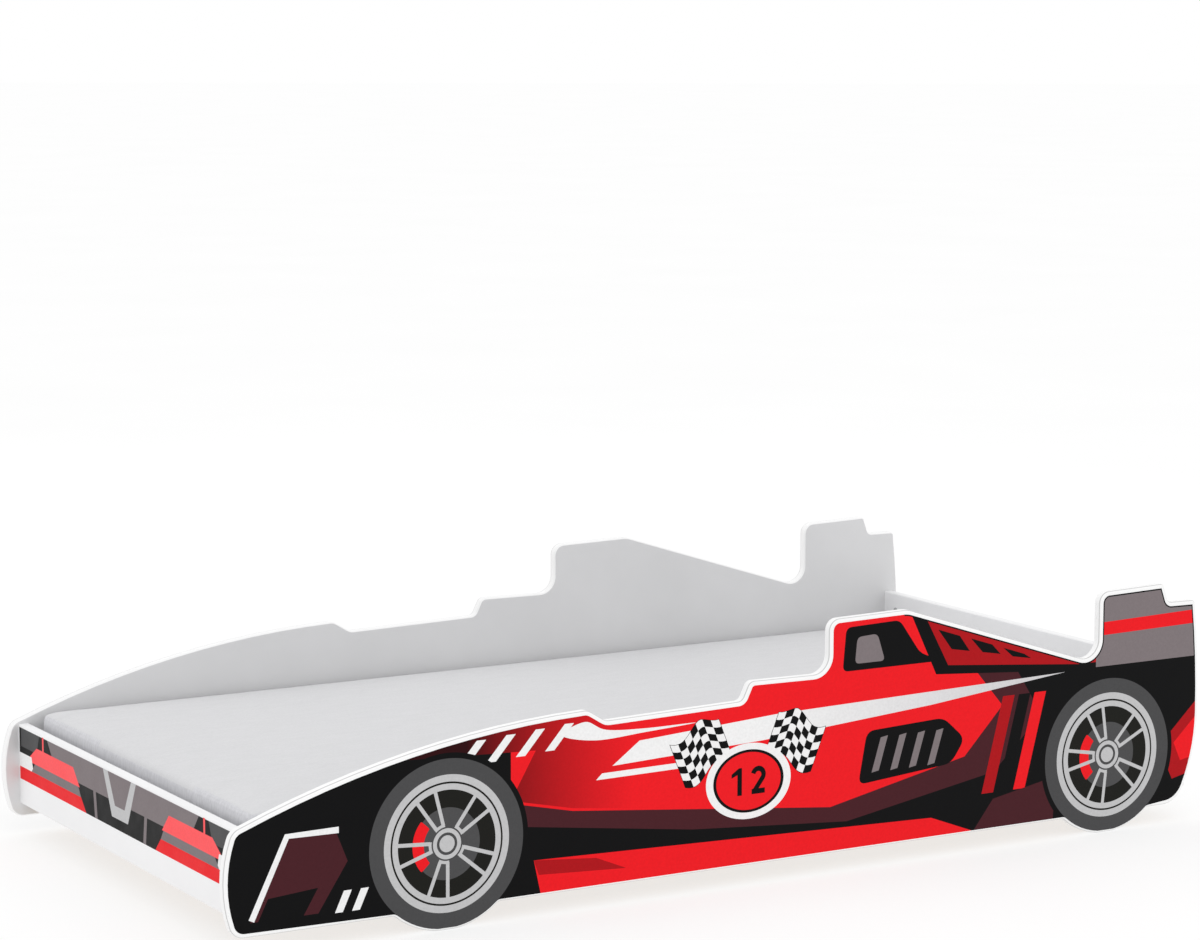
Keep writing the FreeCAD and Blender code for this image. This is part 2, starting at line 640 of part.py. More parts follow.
def end_board(label, end, inside, height):
    """The board's inside face is its own YZ plane, and it grows towards its own +X."""
    body = new_body(label + "_blank")
    half = "(%s / 2)" % INSIDE_WIDTH
    top = "(dims.panel_base + %s)" % height
    outline = box_corners("-" + half, half, "dims.panel_base", top)
    pad(body, outline_sketch(body, "YZ_Plane", "Outline", outline), "dims.board")
    rims = [(x, z) for x in (0, mm("dims.board")) for z in (mm("dims.panel_base"), mm(top))]
    bevel(body, edges_at(body.Shape, 1, rims), "dims.panel_edge_bevel")
    if end == "nose":
        body.Placement.Rotation = about_z(180)
    body.setExpression("Placement.Base.x", inside)
    drill(label, body, [(bolt_bore, at(BOLTS, end)), (dowel_hole, at(DOWELS, end)),
                        (cam_bore, at(CAMS, end))])


end_board("front_panel", "nose", NOSE_INSIDE, "dims.nose_panel_height")
end_board("rear_panel", "tail", TAIL_INSIDE, "dims.tail_panel_height")

# ---------------------------------------------------------------- slatted base

def ledge(name, side):
    """The sketch lies on the ledge's inside face and the ledge grows out to its board."""
    body = new_body("ledge_blank_" + name)
    low_x = "(%s + dims.ledge_end_gap)" % NOSE_INSIDE
    high_x = "(%s - dims.ledge_end_gap)" % TAIL_INSIDE
    outline = box_corners(low_x, high_x, "dims.ledge_base", LEDGE_TOP)
    sketch = outline_sketch(body, "XZ_Plane", "Outline", outline)
    pad(body, sketch, "dims.ledge_width", reverse=side > 0)
    rims = [(0, mm("dims.ledge_base")), (0, mm(LEDGE_TOP))]
    bevel(body, edges_at(body.Shape, 0, rims), "dims.ledge_bevel")
    body.setExpression("Placement.Base.y", "%d * (%s / 2 - dims.ledge_width)" % (
        side, INSIDE_WIDTH))
    drill("ledge_" + name, body, [(ledge_screw_hole, at(LEDGE_SCREWS, name)),
                                  (slat_screw_hole, at(SLAT_SCREWS, name))])


LEG_Y = "(dims.staple_width / 2 - dims.staple_wire / 2)"
LEG_SLOT = "(dims.staple_wire / 2 + dims.staple_slack)"
STAPLE_BITE = "(dims.staple_leg - dims.staple_wire - dims.webbing_thickness)"


def leg_slots(body, name, centre_x, tape_y):
    """A sketch of the two slots that a staple's legs pass through."""
    sketch = new_sketch(body, "XY_Plane", name)
    for leg, sign in enumerate((-1, 1)):
        middle = "(%s + %d * %s)" % (tape_y, sign, LEG_Y)
        corners = box_corners("(%s - %s)" % (centre_x, LEG_SLOT),
                              "(%s + %s)" % (centre_x, LEG_SLOT),
                              "(%s - %s)" % (middle, LEG_SLOT),
                              "(%s + %s)" % (middle, LEG_SLOT))
        spots = [FreeCAD.Vector(mm(x), mm(y), 0) for x, y in corners]
        first = 4 * leg
        for i in range(4):
            sketch.addGeometry(Part.LineSegment(spots[i], spots[(i + 1) % 4]), False)
        for i in range(4):
            after = first + (i + 1) % 4
            sketch.addConstraint(Sketcher.Constraint("Coincident", first + i, 2, after, 1))
            bind(sketch, "DistanceX", first + i, 1, corners[i][0])
            bind(sketch, "DistanceY", first + i, 1, corners[i][1])
    return sketch


def slat(index):
    """A pine slat across the bed. Its own origin is the middle of its underside."""
    label = "slat_%02d" % (index + 1)
    body = new_body(label + "_blank")
    half = "(dims.slat_width / 2)"
    outline = box_corners("-" + half, half, "0", "dims.slat_thickness")
    sketch = outline_sketch(body, "XZ_Plane", "Outline", outline)
    sketch.setExpression("AttachmentOffset.Base.z", "-%s / 2" % SLAT_LENGTH)
    pad(body, sketch, SLAT_LENGTH)
    rims = [(x, z) for x in (-mm(half), mm(half)) for z in (0, mm("dims.slat_thickness"))]
    bevel(body, edges_at(body.Shape, 1, rims), "dims.slat_bevel")
    for name, side in SIDES:
        slots = leg_slots(body, "StapleSlots" + name, "0", "(%d * %s)" % (side, WEBBING_Y))
        pocket(body, slots, "%s + dims.staple_slack" % STAPLE_BITE, reverse=True)
    body.setExpression("Placement.Base.x", slat_x(index))
    body.setExpression("Placement.Base.z", LEDGE_TOP)
    screwed = [name for name, number in end_slats() if number == index]
    if screwed:
        drill(label, body, [(slat_screw_hole, at(SLAT_SCREWS, screwed[0]))])
    else:
        finish_piece(label, body)


def webbing(label, side):
    """The tape under the slats, from the first slat's edge to the last one's."""
    body = new_body(label + "_body")
    last = int(mm("dims.slat_count")) - 1
    half = "(dims.webbing_width / 2)"
    outline = box_corners("(%s - dims.slat_width / 2)" % slat_x(0),
                          "(%s + dims.slat_width / 2)" % slat_x(last), "-" + half, half)
    pad(body, outline_sketch(body, "XY_Plane", "Outline", outline),
        "dims.webbing_thickness")
    slots = leg_slots(body, "StapleSlots", slat_x(0), "0")
    first = pocket(body, slots, "dims.webbing_thickness", reverse=True)
    pattern = body.newObject("PartDesign::LinearPattern", "AlongTheTape")
    pattern.Originals = [first]
    axis = [f for f in body.Origin.OriginFeatures if f.Role == "X_Axis"][0]
    pattern.Direction = (axis, [""])
    pattern.setExpression("Length", "%s - %s" % (slat_x(last), slat_x(0)))
    pattern.setExpression("Occurrences", "dims.slat_count")
    body.Tip = pattern
    doc.recompute()
    body.setExpression("Placement.Base.y", "%d * %s" % (side, WEBBING_Y))
    body.setExpression("Placement.Base.z", "%s - dims.webbing_thickness" % LEDGE_TOP)
    finish_piece(label, body)


for side_name, side_sign in SIDES:
    ledge(side_name, side_sign)
    webbing("webbing_" + side_name, side_sign)
for number in range(int(mm("dims.slat_count"))):
    slat(number)

# ---------------------------------------------------------------- mattress

def cushion(inset):
    """The mattress's outer form, drawn in all round by inset: long sides that pull in
    between the corners, rounded corners, and a crowned top. Its edges are round outside,
    and bevelled inside, where nothing shows."""
    point = FreeCAD.Vector
    low_x, high_x = mm(MATTRESS_NOSE) + inset, mm(MATTRESS_TAIL) - inset
    half = mm("dims.mattress_width") / 2 - inset
    base = mm(MATTRESS_BASE) + inset
    height = mm("dims.mattress_height") - 2 * inset
    draw = mm("dims.side_draw")
    edge = mm("dims.mattress_edge_radius") - inset
    middle = (low_x + high_x) / 2
    plan = Part.Wire([
        Part.Arc(point(low_x, -half, base), point(middle, draw - half, base),
                 point(high_x, -half, base)).toShape(),
        Part.LineSegment(point(high_x, -half, base), point(high_x, half, base)).toShape(),
        Part.Arc(point(high_x, half, base), point(middle, half - draw, base),
                 point(low_x, half, base)).toShape(),
        Part.LineSegment(point(low_x, half, base), point(low_x, -half, base)).toShape()])
    block = Part.Face(plan).extrude(point(0, 0, height))
    uprights = [e for e in block.Edges if e.BoundBox.ZLength > height / 2]
    block = block.makeFillet(mm("dims.mattress_corner_radius") - inset, uprights)
    rims = [e for e in block.Edges if e.BoundBox.ZLength < height / 2]
    if inset > 0:
        block = block.makeChamfer(edge * (2 - math.sqrt(2)), rims)
    else:
        block = block.makeFillet(edge, rims)

    # the crown stands on the flat part of the top
    top = point(middle, 0, base + height)
    reach_x, reach_y = (high_x - low_x) / 2 - edge, half - edge - draw
    crown = crowned_bar(top, point(reach_x, 0, 0), point(0, reach_y, 0)).common(
        crowned_bar(top, point(0, reach_y, 0), point(reach_x, 0, 0)))
    return block.fuse(crown).removeSplitter()


def crowned_bar(middle, along, across):
    """A segment of a very large cylinder, as long as twice along, that rises over twice
    across."""
    rise = FreeCAD.Vector(0, 0, mm("dims.crown_rise"))
    start = middle - along
    section = Part.Wire([
        Part.LineSegment(start - across, start + across).toShape(),
        Part.Arc(start + across, start + rise, start - across).toShape()])
    return Part.Face(section).extrude(along * 2)


def cover_half(label, lower):
    """Half of the cover: the cloth between the mattress's outer form and the foam."""
    shell = cushion(0).cut(cushion(mm("dims.cover_cloth")))
    seam = mm(ZIP_HEIGHT)
    size = 2 * mm(LENGTH)
    corner = FreeCAD.Vector(-size / 2, -size / 2, seam - size if lower else seam)
    solid_feature(label, shell.common(Part.makeBox(size, size, size, corner)))


solid_feature("mattress_core", cushion(mm("dims.cover_cloth + dims.cloth_gap")))
cover_half("cover_top", False)
cover_half("cover_bottom", True)

# ---------------------------------------------------------------- zip, across the nose end

TAPE_FACE = "(%s - dims.zip_tape_thickness)" % MATTRESS_NOSE
TEETH_FACE = "(%s - dims.zip_teeth_thickness)" % TAPE_FACE
SLIDER_BACK = "(dims.zip_teeth_thickness + dims.slider_gap)"
SLIDER_FACE = "(%s + dims.slider_wall)" % SLIDER_BACK
SLIDER_HALF = "(dims.zip_teeth_height / 2 + dims.slider_gap)"
TUNNEL = "(dims.tab_thickness + 2 * dims.tab_gap)"
ZIP_LENGTH = "(dims.mattress_width - 2 * dims.zip_margin)"
SLIDER_Y = "(-%s / 2 + dims.zip_end + dims.slider_length / 2)" % ZIP_LENGTH
LEG_PIVOT = "(dims.bridge_length / 2 - dims.bridge_bar / 2)"
EYE = "(sqrt(dims.bridge_bar ^ 2 + dims.bridge_width ^ 2) / 2 + dims.tab_gap)"


def zip_strip(label, outer_face, thickness, height):
    """A strip across the mattress's nose end, at the height of the zip."""
    body = new_body(label + "_body")
    half_width, half_height = "(%s / 2)" % ZIP_LENGTH, "(%s / 2)" % height
    outline = box_corners("-" + half_width, half_width, "-" + half_height, half_height)
    pad(body, outline_sketch(body, "YZ_Plane", "Outline", outline), thickness)
    body.setExpression("Placement.Base.x", outer_face)
    body.setExpression("Placement.Base.z", ZIP_HEIGHT)
    finish_piece(label, body)


def zip_slider():
    """The slider, seen from its back: its own origin is on the tape's face at its
    middle, and its own -x points away from the mattress."""
    body = new_body("zip_slider_body")
    lip = "(%s + dims.slider_wall)" % SLIDER_HALF
    foot = "(-dims.slider_gap)"
    profile = [(foot, lip), (foot, SLIDER_HALF), ("-" + SLIDER_BACK, SLIDER_HALF),
               ("-" + SLIDER_BACK, "-" + SLIDER_HALF), (foot, "-" + SLIDER_HALF),
               (foot, "-" + lip), ("-" + SLIDER_FACE, "-" + lip), ("-" + SLIDER_FACE, lip)]
    sketch = outline_sketch(body, "XZ_Plane", "Channel", profile)
    sketch.setExpression("AttachmentOffset.Base.z", "-dims.slider_length / 2")
    pad(body, sketch, "dims.slider_length")
    outer = "(dims.bridge_length / 2)"
    inner = "(%s - dims.bridge_bar)" % outer
    under = "(%s + %s)" % (SLIDER_FACE, TUNNEL)
    top = "(%s + dims.bridge_bar)" % under
    arch = [("-" + SLIDER_FACE, outer), ("-" + SLIDER_FACE, inner), ("-" + under, inner),
            ("-" + under, "-" + inner), ("-" + SLIDER_FACE, "-" + inner),
            ("-" + SLIDER_FACE, "-" + outer), ("-" + top, "-" + outer), ("-" + top, outer)]
    bridge = outline_sketch(body, "XY_Plane", "Bridge", arch)
    bridge.setExpression("AttachmentOffset.Base.z", "-dims.bridge_width / 2")
    pad(body, bridge, "dims.bridge_width")
    body.setExpression("Placement.Base.x", TAPE_FACE)
    body.setExpression("Placement.Base.y", SLIDER_Y)
    body.setExpression("Placement.Base.z", ZIP_HEIGHT)
    finish_piece("zip_slider", body)


def zip_pull_tab():
    """The pull tab: its own origin is the middle of its eye, and it hangs straight down."""
    body = new_body("zip_pull_tab_body")
    neck, foot = "(dims.tab_neck / 2)", "(dims.tab_width / 2)"
    outline = [("-" + neck, "0"), ("-" + foot, "-dims.tab_length"),
               (foot, "-dims.tab_length"), (neck, "0")]
    pad(body, outline_sketch(body, "YZ_Plane", "Blade", outline), "dims.tab_thickness")
    ring = circles_sketch(body, "YZ_Plane", "Ring", [("0", "0", "(%s + dims.tab_rim)" % EYE)])
    pad(body, ring, "dims.tab_thickness")
    corners = [(-mm(foot), -mm("dims.tab_length")), (mm(foot), -mm("dims.tab_length"))]
    fillet(body, edges_at(body.Shape, 0, corners), "dims.tab_round")
    eye = circles_sketch(body, "YZ_Plane", "Eye", [("0", "0", EYE)])
    pocket(body, eye, "dims.tab_thickness", reverse=True)
    body.setExpression("Placement.Base.x", "%s - %s - dims.tab_gap - dims.tab_thickness" % (
        TAPE_FACE, SLIDER_FACE))
    body.setExpression("Placement.Base.y", "%s - %s" % (SLIDER_Y, LEG_PIVOT))
    body.setExpression("Placement.Base.z", ZIP_HEIGHT)
    finish_piece("zip_pull_tab", body)


zip_strip("zip_tape", TAPE_FACE, "dims.zip_tape_thickness", "dims.zip_tape_height")
zip_strip("zip_teeth", TEETH_FACE, "dims.zip_teeth_thickness", "dims.zip_teeth_height")
zip_slider()
zip_pull_tab()

# ---------------------------------------------------------------- write the pieces

doc.recompute()
for item in doc.Objects:
    if "Invalid" in item.State or "Error" in item.State:
        raise RuntimeError("%s did not build: %s" % (item.Label, item.State))
os.makedirs("parts", exist_ok=True)
for label, piece in PIECES.items():
    if piece.Shape.isNull() or not piece.Shape.isValid():
        raise RuntimeError("%s has no valid shape" % label)
    piece.Shape.exportStep("parts/%s.step" % label)
    print(label, len(piece.Shape.Solids), piece.Shape.BoundBox)
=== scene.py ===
"""Looks of a children's race-car bed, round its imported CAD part.

Metres. +Z is up, the car's nose points to -X, and the near side, which faces the camera,
is -Y. The printed faces are flat skins of ink laid on the boards. Points in a print are
(x, z) on the side boards and (y, z) on the nose board.
"""
import math

import bmesh
import bpy
from mathutils import Matrix, Vector
from mathutils.geometry import delaunay_2d_cdt


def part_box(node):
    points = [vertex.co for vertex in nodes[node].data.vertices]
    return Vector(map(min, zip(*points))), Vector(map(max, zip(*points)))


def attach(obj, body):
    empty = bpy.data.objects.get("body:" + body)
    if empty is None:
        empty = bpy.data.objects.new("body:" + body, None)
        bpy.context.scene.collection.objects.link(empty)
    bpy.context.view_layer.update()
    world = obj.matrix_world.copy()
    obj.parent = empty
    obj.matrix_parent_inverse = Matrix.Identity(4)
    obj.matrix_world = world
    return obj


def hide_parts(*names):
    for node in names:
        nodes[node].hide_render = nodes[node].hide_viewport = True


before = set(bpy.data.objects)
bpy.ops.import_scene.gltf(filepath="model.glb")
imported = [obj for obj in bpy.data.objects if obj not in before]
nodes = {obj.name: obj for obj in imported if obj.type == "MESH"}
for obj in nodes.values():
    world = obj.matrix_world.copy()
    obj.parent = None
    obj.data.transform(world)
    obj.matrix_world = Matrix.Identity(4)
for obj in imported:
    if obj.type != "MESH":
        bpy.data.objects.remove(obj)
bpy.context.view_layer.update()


# ---------------------------------------------------------------- node materials

def srgb(red, green, blue):
    """A colour given as the eye reads it, 0 to 255, as the linear colour that shaders use."""
    linear = [c / 12.92 if c <= 0.04045 else ((c + 0.055) / 1.055) ** 2.4
              for c in (red / 255, green / 255, blue / 255)]
    return (*linear, 1.0)


def grey(level):
    return (level, level, level, 1.0)


def shade(colour, factor):
    return (*[min(1.0, c * factor) for c in colour[:3]], 1.0)


class Surface:
    """A node material under construction. Patterns lie in the row frame, in metres, and
    stay with the piece when it moves."""

    def __init__(self, name, roughness=0.5, metallic=0.0, specular=0.5):
        self.material = bpy.data.materials.new(name)
        self.material.use_nodes = True
        self.tree = self.material.node_tree
        self.shader = self.tree.nodes["Principled BSDF"]
        self.shader.inputs["Roughness"].default_value = roughness
        self.shader.inputs["Metallic"].default_value = metallic
        self.shader.inputs["Specular IOR Level"].default_value = specular
        self.place = self.add("ShaderNodeTexCoord").outputs["Object"]

    def add(self, kind, sockets=None, **settings):
        node = self.tree.nodes.new(kind)
        for name, value in settings.items():
            setattr(node, name, value)
        for name, value in (sockets or {}).items():
            if isinstance(value, bpy.types.NodeSocket):
                self.tree.links.new(value, node.inputs[name])
            else:
                node.inputs[name].default_value = value
        return node

    def link(self, output, name):
        self.tree.links.new(output, self.shader.inputs[name])

    def stretched(self, x=1.0, y=1.0, z=1.0):
        """Coordinates that are squeezed, so that patterns grow long along an axis."""
        return self.add("ShaderNodeMapping", {
            "Vector": self.place, "Scale": (x, y, z)}).outputs["Vector"]

    def noise(self, scale, detail=3.0, place=None, roughness=0.55):
        return self.add("ShaderNodeTexNoise", {
            "Vector": place or self.place, "Scale": scale, "Detail": detail,
            "Roughness": roughness}).outputs["Fac"]

    def waves(self, scale, axis, distortion, place=None, detail=2.0):
        return self.add("ShaderNodeTexWave", {
            "Vector": place or self.place, "Scale": scale, "Distortion": distortion,
            "Detail": detail}, bands_direction=axis).outputs["Fac"]

    def ramp(self, value, low, high, start=0.3, end=0.7):
        """A value from start to end as a colour from low to high."""
        ramp = self.add("ShaderNodeValToRGB", {"Fac": value})
        ends = ramp.color_ramp.elements
        ends[0].position, ends[0].color = start, low
        ends[1].position, ends[1].color = end, high
        return ramp.outputs["Color"]

    def between(self, value, low, high, start=0.3, end=0.7):
        """A value from start to end as a number from low to high."""
        return self.add("ShaderNodeMapRange", {
            "Value": value, "From Min": start, "From Max": end,
            "To Min": low, "To Max": high}).outputs["Result"]

    def mix(self, factor, first, second, blend="MIX"):
        # sockets 0, 6 and 7 are the factor and the two colours, and output 2 is a colour
        return self.add("ShaderNodeMix", {0: factor, 6: first, 7: second},
                        data_type="RGBA", blend_type=blend).outputs[2]

    def math(self, operation, first, second=0.5):
        return self.add("ShaderNodeMath", {0: first, 1: second},
                        operation=operation).outputs["Value"]

    def bump(self, height, distance, strength=1.0, onto=None):
        """A relief of that depth, over an earlier one if given."""
        sockets = {"Height": height, "Distance": distance, "Strength": strength}
        if onto is not None:
            sockets["Normal"] = onto
        normal = self.add("ShaderNodeBump", sockets).outputs["Normal"]
        self.link(normal, "Normal")
        return normal


board_inner, board_outer = (corner.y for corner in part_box("side_panel_far"))
# A side board's inner colour is a darker grey that is painted shade.
BACK_Y = board_inner + 0.0006        # |y| up to which a side board has its inner colour
BAND_SEAM_Y = board_outer - 0.0026   # where the edge band meets the face's bevel
PEEL_SCALE = 900.0                   # the orange peel of a board's or a print's film
PEEL_DEPTH = 0.00006


def laminate(name, colour, roughness=0.42, back=None):
    """Melamine-faced fibreboard: a faint orange peel and handling marks. back is the
    darker grey given to a side board's inner face, which is painted shade. With it, the
    edge band's seam shows as a faint line just inside the outer face."""
    s = Surface(name, roughness)
    cloud = s.noise(7.0)
    face = s.ramp(cloud, shade(colour, 0.975), shade(colour, 1.015))
    if back is not None:
        axes = s.add("ShaderNodeSeparateXYZ", {"Vector": s.place})
        away = s.math("ABSOLUTE", axes.outputs["Y"])
        # painted shade: the inner face is made a darker grey than the outer one
        shaded_inner_face = s.ramp(cloud, shade(back, 0.97), shade(back, 1.02))
        face = s.mix(s.between(away, 0.0, 1.0, BACK_Y - 0.0001, BACK_Y + 0.0001),
                     shaded_inner_face, face)
        off_seam = s.math("ABSOLUTE", s.math("SUBTRACT", away, BAND_SEAM_Y))
        face = s.mix(s.between(off_seam, 0.0, 1.0, 0.0006, 0.0011),
                     shade(colour, 0.62), face)
    s.link(face, "Base Color")
    s.link(s.between(s.noise(38.0, 4.0), roughness - 0.05, roughness + 0.07), "Roughness")
    s.bump(s.noise(PEEL_SCALE, 2.0), PEEL_DEPTH, 0.35)
    return s.material


def ink(name, colour, fade_to=None, start=0.0, end=1.0):
    """Print on the board, under a satin film. It may fade to a second colour along X,
    from start to end."""
    roughness = 0.44
    s = Surface(name, roughness, specular=0.07)
    base = colour
    if fade_to is not None:
        run = s.add("ShaderNodeVectorMath", {0: s.place, 1: (1, 0, 0)},
                    operation="DOT_PRODUCT")
        base = s.ramp(s.between(run.outputs["Value"], 0.0, 1.0, start, end),
                      colour, fade_to, 0.0, 1.0)
    mottle = s.ramp(s.noise(260.0, 2.0), grey(0.955), grey(1.03))
    s.link(s.mix(1.0, base, mottle, "MULTIPLY"), "Base Color")
    s.link(s.between(s.noise(30.0, 4.0), roughness - 0.05, roughness + 0.08), "Roughness")
    s.bump(s.noise(PEEL_SCALE, 2.0), PEEL_DEPTH, 0.3)
    return s.material


GRAIN_SQUEEZE = 0.055        # wood's pattern is 1 / this as long along the grain


def timber(name, pale, dark, along, ring_scale=34.0, pores=420.0):
    """Planed wood with its grain along X or Y."""
    s = Surface(name, 0.55)
    squeeze = (GRAIN_SQUEEZE, 1.0, 1.0) if along == "X" else (1.0, GRAIN_SQUEEZE, 1.0)
    place = s.stretched(*squeeze)
    drift = s.noise(9.0, 2.0, place)
    across = "Y" if along == "X" else "X"
    rings = s.waves(ring_scale, across, 5.0, place, 3.0)
    fibre = s.noise(pores, 3.0, place, 0.7)
    colour = s.ramp(rings, pale, dark, 0.25, 0.95)
    colour = s.mix(s.between(drift, 0.0, 0.55), colour, shade(pale, 0.86))
    colour = s.mix(s.between(fibre, 0.0, 0.3, 0.5, 0.75), colour, shade(dark, 0.8))
    s.link(colour, "Base Color")
    s.link(s.between(fibre, 0.48, 0.66), "Roughness")
    relief = s.bump(fibre, 0.00025, 0.5)
    s.bump(rings, 0.0003, 0.35, relief)
    return s.material


def woven(name, colour, pitch, depth=0.0003, melange=0.10, stretch=(1.0, 1.0, 1.0),
          fibre_scale=700.0, cloud_scale=60.0, clouds=0.03):
    """Cloth of crossing yarns at a pitch, with paler and darker fibres among them."""
    s = Surface(name, 0.88, specular=0.2)
    s.shader.inputs["Sheen Weight"].default_value = 0.15
    s.shader.inputs["Sheen Roughness"].default_value = 0.5
    turns = math.pi / (10 * pitch)       # a wave texture has 20 / (2 pi) bands a unit
    warp = s.waves(turns, "X", 0.6)
    weft = s.waves(turns, "Y", 0.6)
    place = s.stretched(*stretch)
    fibres = s.noise(fibre_scale, 4.0, place, 0.7)
    tone = s.ramp(fibres, shade(colour, 1 - melange), shade(colour, 1 + melange * 0.5))
    soft = s.ramp(s.noise(cloud_scale, 5.0, place, 0.65), grey(1 - clouds),
                  grey(1 + clouds * 0.5))
    s.link(s.mix(1.0, tone, soft, "MULTIPLY"), "Base Color")
    relief = s.bump(s.math("MULTIPLY", warp, weft), depth, 0.5)
    s.bump(fibres, depth, 0.35, relief)
    return s.material


def metal(name, colour, roughness=0.32):
    """Plated steel or cast zinc, with a fine grain and some dulling."""
    s = Surface(name, roughness, metallic=1.0)
    fine = s.noise(1400.0)
    dull = s.noise(90.0)
    s.link(s.ramp(dull, shade(colour, 0.86), shade(colour, 1.06)), "Base Color")
    s.link(s.between(fine, roughness - 0.07, roughness + 0.14), "Roughness")
    s.bump(fine, 0.00004, 0.4)
    return s.material


def foam(name, colour):
    """Cut polyurethane foam: open pores, painted darker in their hollows as shade."""
    s = Surface(name, 0.95, specular=0.15)
    pores = s.add("ShaderNodeTexVoronoi", {"Vector": s.place, "Scale": 900.0})
    # painted shade: each pore goes darker towards its middle, where it sinks deepest
    s.link(s.ramp(pores.outputs["Distance"], shade(colour, 0.8), colour, 0.0, 0.5),
           "Base Color")
    s.bump(pores.outputs["Distance"], 0.0006, 0.7)
    return s.material


BOARD = laminate("board_white", srgb(238, 238, 239))
# The side boards' inner faces get a darker grey (214 against 243), which is painted shade.
SIDE_BOARD = laminate("side_board_white", srgb(243, 243, 243), back=srgb(214, 214, 215))
RACING_RED = srgb(233, 25, 33)
PAPER_WHITE = srgb(236, 236, 236)
RED = ink("ink_red", RACING_RED)
DEEP_RED = ink("ink_deep_red", srgb(170, 17, 24))
FENDER_RED = ink("ink_fender_red", srgb(44, 7, 11), RACING_RED, -0.47, -0.20)
MAROON = ink("ink_maroon", srgb(70, 30, 36))
BLACK = ink("ink_black", srgb(11, 11, 12))
WHITE = ink("ink_white", PAPER_WHITE)
PEARL = ink("ink_pearl", PAPER_WHITE, srgb(206, 204, 206), 0.0, 0.5)
WING_GREY = ink("ink_wing_grey", srgb(124, 115, 117))
TYRE_GREY = ink("ink_tyre_grey", srgb(73, 73, 74))
RIM_GREY = ink("ink_rim_grey", srgb(190, 190, 191))
DISC_GREY = ink("ink_disc_grey", srgb(76, 76, 77))
WELL_BLACK = ink("ink_well_black", srgb(27, 27, 24))
CORAL = ink("ink_coral", srgb(252, 88, 92))
PINE_X = timber("pine_along", srgb(226, 194, 146), srgb(196, 150, 98), "X")
PINE_Y = timber("pine_across", srgb(228, 198, 152), srgb(200, 156, 104), "Y")
BEECH = timber("beech", srgb(214, 176, 136), srgb(184, 138, 96), "Y", 60.0, 700.0)
COVER = woven("cover_jersey", srgb(213, 213, 215), 0.0016, melange=0.08,
              stretch=(0.3, 1.0, 1.0))
COVER_SIDE = woven("cover_border", srgb(211, 211, 215), 0.0024, 0.0006, 0.14,
                   stretch=(1.0, 1.0, 0.15), fibre_scale=330.0, cloud_scale=90.0, clouds=0.05)
TAPE = woven("woven_tape", srgb(214, 212, 206), 0.0009, 0.0002)
ZIP_TAPE = woven("zip_cloth", srgb(212, 212, 214), 0.0007, 0.0002)
ZINC = metal("zinc_plate", srgb(196, 198, 200))
CAST_ZINC = metal("cast_zinc", srgb(200, 201, 202), 0.52)
NICKEL = metal("nickel", srgb(200, 199, 197), 0.24)
NYLON = laminate("nylon", srgb(226, 226, 226), 0.38)
FOAM = foam("foam", srgb(244, 240, 224))


def dress(names, material):
    """Gives CAD nodes that stay in view their material."""
    for name in names:
        data = nodes[name].data
        data.materials.clear()
        data.materials.append(material)


slats = sorted(name for name in nodes if name.startswith("slat_") and name[5:].isdigit())
dress(["side_panel_near", "side_panel_far"], SIDE_BOARD)
dress(["front_panel", "rear_panel"], BOARD)
dress(["ledge_near", "ledge_far"], PINE_X)
dress(slats, PINE_Y)
dress(["webbing_near", "webbing_far"], TAPE)
dress(["ledge_screws", "slat_screws", "cam_bolts", "staples"], ZINC)
dress(["cam_discs"], CAST_ZINC)
dress(["dowels"], BEECH)
dress(["zip_slider", "zip_pull_tab"], NICKEL)


# ---------------------------------------------------------------- pieces

def placed(name, data):
    """A new object of that name in the scene."""
    piece = bpy.data.objects.new(name, data)
    bpy.context.scene.collection.objects.link(piece)
    return piece


def as_mesh(name, mesh):
    """A BMesh, which is freed, as mesh data of that name."""
    data = bpy.data.meshes.new(name)
    mesh.to_mesh(data)
    mesh.free()
    return data


def evaluated_mesh(piece):
    graph = bpy.context.evaluated_depsgraph_get()
    return bpy.data.meshes.new_from_object(piece.evaluated_get(graph))


def mesh_piece(name, points, faces, materials, body, face_material=None):
    data = bpy.data.meshes.new(name)
    data.from_pydata([tuple(p) for p in points], [], faces)
    for material in materials:
        data.materials.append(material)
    if face_material is not None:
        data.polygons.foreach_set("material_index", face_material)
    data.validate()
    data.update()
    piece = placed(name, data)
    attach(piece, body)
    return piece


# ---------------------------------------------------------------- flat shapes

def face_outline(node, axis, place):
    """The rim of the flat face that a CAD node has at a place along an axis: its corners
    in the two other coordinates, in order."""
    kept = [i for i in range(3) if i != axis]
    mesh = nodes[node].data
    uses = {}
    for polygon in mesh.polygons:
        corners = [mesh.vertices[v].co for v in polygon.vertices]
        if any(abs(c[axis] - place) > 1e-5 for c in corners):
            continue
        keys = [tuple(round(c[i], 6) for i in kept) for c in corners]
        for a, b in zip(keys, keys[1:] + keys[:1]):
            uses.setdefault(frozenset((a, b)), []).append((a, b))
    follow = {}
    for pairs in uses.values():
        if len(pairs) == 1:
            follow[pairs[0][0]] = pairs[0][1]
    loops = []
    while follow:
        start = next(iter(follow))
        loop = [start]
        while loop[-1] in follow:
            after = follow.pop(loop[-1])
            if after == start:
                break
            loop.append(after)
        loops.append(loop)
    return max(loops, key=lambda loop: abs(signed_area(loop)))


def signed_area(loop):
    return sum(a[0] * b[1] - b[0] * a[1] for a, b in zip(loop, loop[1:] + loop[:1])) / 2


def circle(centre, radius, count=96):
    return ring_part(centre, radius, 0, 360, count)[:-1]


def ring_part(centre, radius, start, end, count=24):
    """Points along an arc, by degrees."""
    turns = [math.radians(start + (end - start) * i / count) for i in range(count + 1)]
    return [(centre[0] + radius * math.cos(t), centre[1] + radius * math.sin(t))
            for t in turns]


def sector(centre, inner, outer, start, end):
    return ring_part(centre, outer, start, end) + ring_part(centre, inner, end, start)


